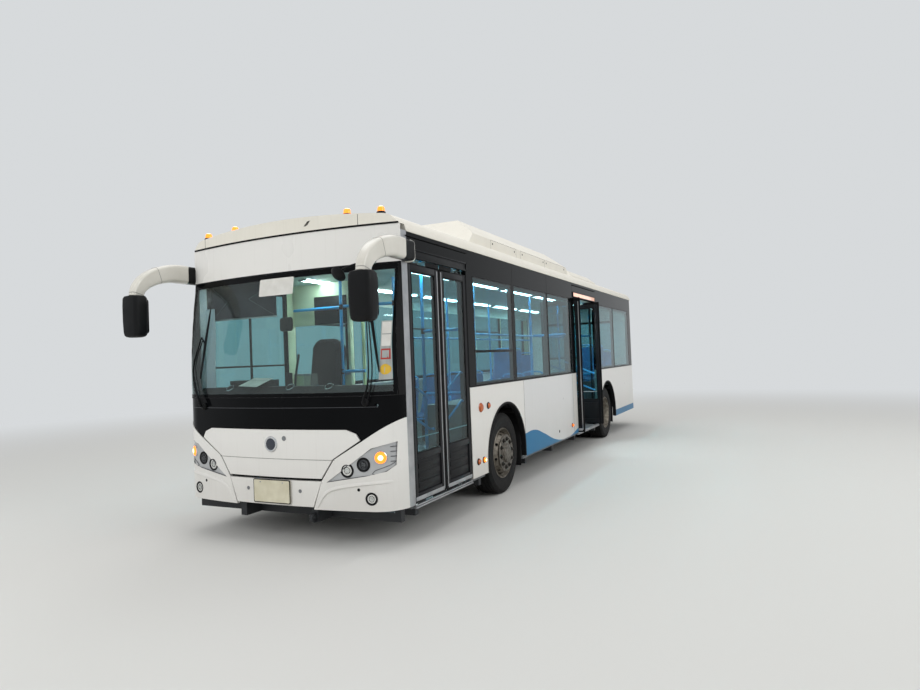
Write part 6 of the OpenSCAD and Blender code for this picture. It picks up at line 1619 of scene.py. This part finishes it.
def doorHeaders():
    shells = []
    for s0, s1, lit in ((0.09, 1.335, False), (5.40, 6.83, True)):
        a, b = halfW - 0.004, halfW + headerSet["out"]
        z0, z1 = headerSet["lampZ"]
        for q in ((z1, z1 + 0.012), (z0 - 0.012, z0)):
            shells.append(boxed(a, b, s0, s1, q[0], q[1], "satinBlackPanel", 0.003))
        for q in ((s0, s0 + 0.02), (s1 - 0.02, s1)):
            shells.append(boxed(a, b, q[0], q[1], z0 - 0.012, z1 + 0.012, "satinBlackPanel", 0.003))
        if lit:
            shells.append(boxed(a, b - 0.004, s0 + 0.02, s1 - 0.02, z0, z1, "warmTubeGlow", 0.003))
        else:
            shells.append(boxed(a, b - 0.008, s0 + 0.02, s1 - 0.02, z0, z1, "satinBlackPanel", 0.003))
        # drip rail over the doorway, and the sill's bright tread plates
        shells.append(boxed(halfW - 0.002, halfW + 0.016, s0 - 0.01, s1 + 0.01, 2.742, 2.752, "epdmRubber", 0.003))
        for k in range(2):
            shells.append(boxed(1.2, halfW + 0.002 - 0.006 * k, s0 + 0.02, s1 - 0.02, 0.312 + 0.018 * k,
                                0.326 + 0.018 * k, "anodisedAluminium", 0.002))
    return shells


# Rear
rearSet = {"lamps": ((0.72, "clearLampDark"), (0.85, "amberLampDark"), (0.98, "redLampDark"),
                     (1.11, "redLampDark")), "y": 5.46}


def rearDress():
    shells = []
    y = rearSet["y"]
    out = (0, 1, 0)
    for z, lens in rearSet["lamps"]:
        at = (1.03, y, z)
        shells.append(outward(lathe([(0, -0.014), (0.053, -0.014), (0.053, 0.004), (0.049, 0.008), (0.044, 0.006),
                                     (0.042, 0.0), (0, 0.0)], at, out, 36)) + ("texturedAbs",))
        shells.append(outward(lathe([(0.042, 0.0), (0.0425, 0.008), (0.036, 0.013), (0.02, 0.0165), (0, 0.0175)], at,
                                    out, 36)) + (lens,))
        shells.append(outward(lathe([(0.026, 0.013), (0.027, 0.0165), (0.025, 0.0165), (0.024, 0.013)], at, out, 32))
                      + (lens,))
    pocket = np.array([[a, y + 0.0005 * k, b] for k in (0, 1) for a, b in softRect(0.14, 0.54, 0.06, 6)
                       + [1.03, 0.915]]).reshape(2, -1, 3)
    shells.append(outward(loft(pocket)) + ("satinBlackPanel",))
    for z in (2.66,):
        for x in (0.9,):
            shells.append(outward(lathe([(0, 0), (0.034, 0), (0.034, 0.006), (0.026, 0.014), (0, 0.018)], (x, y, z), out,
                                        24)) + ("redLampDark",))
    return bothSides(shells)


def rearMiddle():
    y = rearSet["y"]
    shells = []
    ring = np.array(softRect(1.73, 0.88, 0.05, 6)) + [0, 1.925]
    shells.append(outward(sweep(np.array([[a, y + 0.001, b] for a, b in np.vstack([ring, ring[:1]])]), 0.009, 8))
                  + ("epdmRubber",))
    # black print round the pane, a high stop lamp, the blank plate in its frame, lid handle and foot strip
    for q in ((-0.855, -0.8, 1.495, 2.355), (0.8, 0.855, 1.495, 2.355), (-0.855, 0.855, 1.495, 1.545),
              (-0.855, 0.855, 2.30, 2.355)):
        shells.append((*boxShell(q[0], q[1], y - 0.0075, y + 0.0008, q[2], q[3]), "blackGlossLacquer"))
    shells.append((*boxShell(-0.17, 0.17, y - 0.002, y + 0.014, 2.44, 2.475, 0.006), "redLampDark"))
    frameRing = [[[a, y + d, b] for a, b in softRect(w, h, 0.01, 4) + [0, 1.41]]
                 for d, w, h in ((0, 0.43, 0.125), (0.004, 0.43, 0.125), (0.005, 0.424, 0.119))]
    shells.append(outward(loft(frameRing)) + ("texturedAbs",))
    plate = [[[a, y + d, b] for a, b in softRect(w, h, 0.008, 4) + [0, 1.41]]
             for d, w, h in ((0.004, 0.41, 0.105), (0.007, 0.408, 0.103), (0.0075, 0.402, 0.098))]
    shells.append(outward(loft(plate)) + ("plateEnamel",))
    for x in (-0.16, 0.16):
        shells.append((*boxShell(x - 0.02, x + 0.02, y, y + 0.018, 1.478, 1.492, 0.004), "texturedAbs"))
    for z in (0.40, 0.44):
        shells.append((*boxShell(-1.1, 1.1, y - 0.001, y + 0.004, z, z + 0.02, 0.002), "epdmRubber"))
    return shells


def lidDress():  # rides the engine lid: louvre blades, handle and two locks
    y = rearSet["y"]
    shells = []
    for z in np.arange(0.6, 1.09, 0.06):
        blade = [[[x, y + a - 0.02, z + 0.013 + b] for a, b in ((0.0, 0.011), (0.003, 0.012), (0.0195, -0.006),
                                                                (0.0175, -0.009))] for x in (-0.6, 0.6)]
        shells.append(outward(loft(blade)) + ("satinBlackPanel",))
    path = curved([(-0.09, y - 0.004, 0.53), (-0.085, y + 0.012, 0.53), (0.085, y + 0.012, 0.53),
                   (0.09, y - 0.004, 0.53)], 8)
    shells.append(outward(sweep(path, 0.006, 10)) + ("texturedAbs",))
    for x in (-0.7, 0.7):
        shells.append(outward(lathe([(0, 0), (0.02, 0), (0.02, 0.003), (0.012, 0.005), (0, 0.004)], (x, y, 0.56),
                                    (0, 1, 0), 24)) + ("lockGrey",))
    return shells


# Roof units
def roofUnitDress():
    shells = []
    # three fan grilles on the rear unit: rim, black disc, four rings and four bars across it
    for s in (6.75, 7.25, 7.75):
        at = np.array([0.0, frontY + s, 3.13])
        shells.append(outward(lathe([(0.19, 0), (0.2, 0), (0.2, 0.008), (0.19, 0.01)], at, (0, 0, 1), 40))
                      + ("texturedAbs",))
        shells.append(outward(lathe([(0, 0), (0.19, 0), (0.19, 0.002), (0, 0.002)], at, (0, 0, 1), 40))
                      + ("satinBlackPanel",))
        for r in (0.05, 0.09, 0.13, 0.165):
            shells.append(outward(lathe([(r - 0.004, 0.002), (r + 0.004, 0.002), (r + 0.003, 0.008), (r - 0.003, 0.008)],
                                        at, (0, 0, 1), 36)) + ("seamGrey",))
        for k in range(4):
            a = math.radians(45 * k)
            d = np.array([math.cos(a), math.sin(a), 0.0])
            line = at + [0, 0, 0.008] + d * np.linspace(-0.19, 0.19, 5)[:, None]
            shells.append(outward(sweep(line, 0.004, 6)) + ("seamGrey",))
    return shells


def splashPanels():  # rubber skirts under the rear wheel boxes' inner walls, and a mud flap behind each wheel
    shells = [boxed(0.575, 0.587, s0, s1, 0.345, 0.69, "epdmRubber", 0.002) for s0, s1 in ((6.985, 7.12), (7.99, 8.195))]
    shells += [boxed(0.61, 1.19, s, s + 0.008, 0.235, 0.97, "epdmRubber", 0.003) for s in (2.905, 8.172)]
    shells += [boxed(0.62, 1.18, s - 0.012, s, 0.9, 0.94, "castSteel", 0.002) for s in (2.905, 8.172)]
    return bothSides(shells)


def offSideDress():
    # service flaps on the far skirt: seams, piano hinges and square locks; filler flap behind the front wheel
    shells = []
    for s0, s1, z0, z1 in ((3.3, 4.35, 0.42, 1.05), (4.45, 5.6, 0.42, 1.05), (5.7, 6.75, 0.42, 1.05),
                           (8.35, 9.55, 0.45, 1.15), (0.35, 1.15, 0.42, 0.95)):
        x0, x1 = -halfW - 0.0008, -halfW + 0.002
        for q in ((s0, s0 + 0.004, z0, z1), (s1 - 0.004, s1, z0, z1), (s0, s1, z0, z0 + 0.004),
                  (s0, s1, z1 - 0.004, z1)):
            shells.append((*boxShell(x0, x1, frontY + q[0], frontY + q[1], q[2], q[3]), "epdmRubber"))
        for t in (0.18, 0.82):
            s = s0 + (s1 - s0) * t
            shells.append(outward(lathe([(0, 0), (0.016, 0), (0.016, 0.003), (0.01, 0.005), (0, 0.004)],
                                        (-halfW, frontY + s, z0 + 0.06), (-1, 0, 0), 20)) + ("lockGrey",))
            shells.append((*boxShell(-halfW - 0.004, -halfW + 0.001, frontY + s - 0.05, frontY + s + 0.05, z1 - 0.008,
                                     z1 + 0.008, 0.003), "anodisedAluminium"))
    # driver's window: sliding split and its rail
    y = frontY
    shells.append((*boxShell(-halfW - 0.002, -halfW + 0.016, y + 0.75, y + 0.775, 1.3, 2.5, 0.003), "satinBlackPanel"))
    shells.append((*boxShell(-halfW - 0.002, -halfW + 0.016, y + 0.21, y + 1.32, 1.62, 1.64, 0.003),
                   "satinBlackPanel"))
    return shells


for doorName in doorways:
    doorLeaf(doorName, "a", False)
    doorLeaf(doorName, "b", True)
print("doors built")
addPiece("sideLampSet", sideLamps(), replaces=("side_lamps",))
addPiece("archLips", [archLip(y, s) for y in (frontAxleY, rearAxleY) for s in (1, -1)])
addPiece("windowSeals", windowSeams())
addPiece("sideTrimSet", sideTrim())
addPiece("roofPanelSeams", roofPanels())
addPiece("roofCapTrim", roofCap())
print("sides and roof dressed")
addPiece("lampClusters", [outward(s[:2]) + s[2:] for s in frontCluster()], replaces=("front_lamps",))
addPiece("bumperRidges", bumperForm())
addPiece("flapTrimSet", flapTrim(), body="front_flap")
addPiece("plateTrimSet", plateTrim())
addPiece("bandTrimSet", bandTrim())
addPiece("wiperPair", wiperSet(), replaces=("wipers",))
addPiece("mirrorHorns", mirrorArm(), replaces=("mirror_arms",))
addPiece("mirrorHeads", mirrorHead(), replaces=("mirror_heads",))
addPiece("lookDownMirror", lookDownMirror())
addPiece("roofMarkers", markerLamps(), replaces=("marker_lamps",))
print("front dressed")

addPiece("ceilingLamps", ceilingStrips())
addPiece("coveLining", coveLining())
addPiece("wallLining", wallLining())
addPiece("grabRails", grabRails())
addPiece("partitionBoards", partitionBoard())
screenPanes()
addPiece("screenPrint", screenDress())
addPiece("dashDetails", [outward(s[:2]) + s[2:] for s in dashTop()])
driverSeat()
addPiece("passengerSeatRows", passengerSeats(), replaces=("passenger_seats",))
blindAndMirror()
sideCurtain()
print("cabin dressed")
wheels()
print("wheels built")
addPiece("doorHeaders", doorHeaders())
addPiece("rearLampColumns", rearDress())
addPiece("rearTrim", rearMiddle())
addPiece("lidTrim", lidDress(), body="engine_lid")
addPiece("roofUnitTrim", roofUnitDress())
addPiece("farSideFlaps", offSideDress())
addPiece("splashPanels", splashPanels())
print("rear, roof and far side dressed")
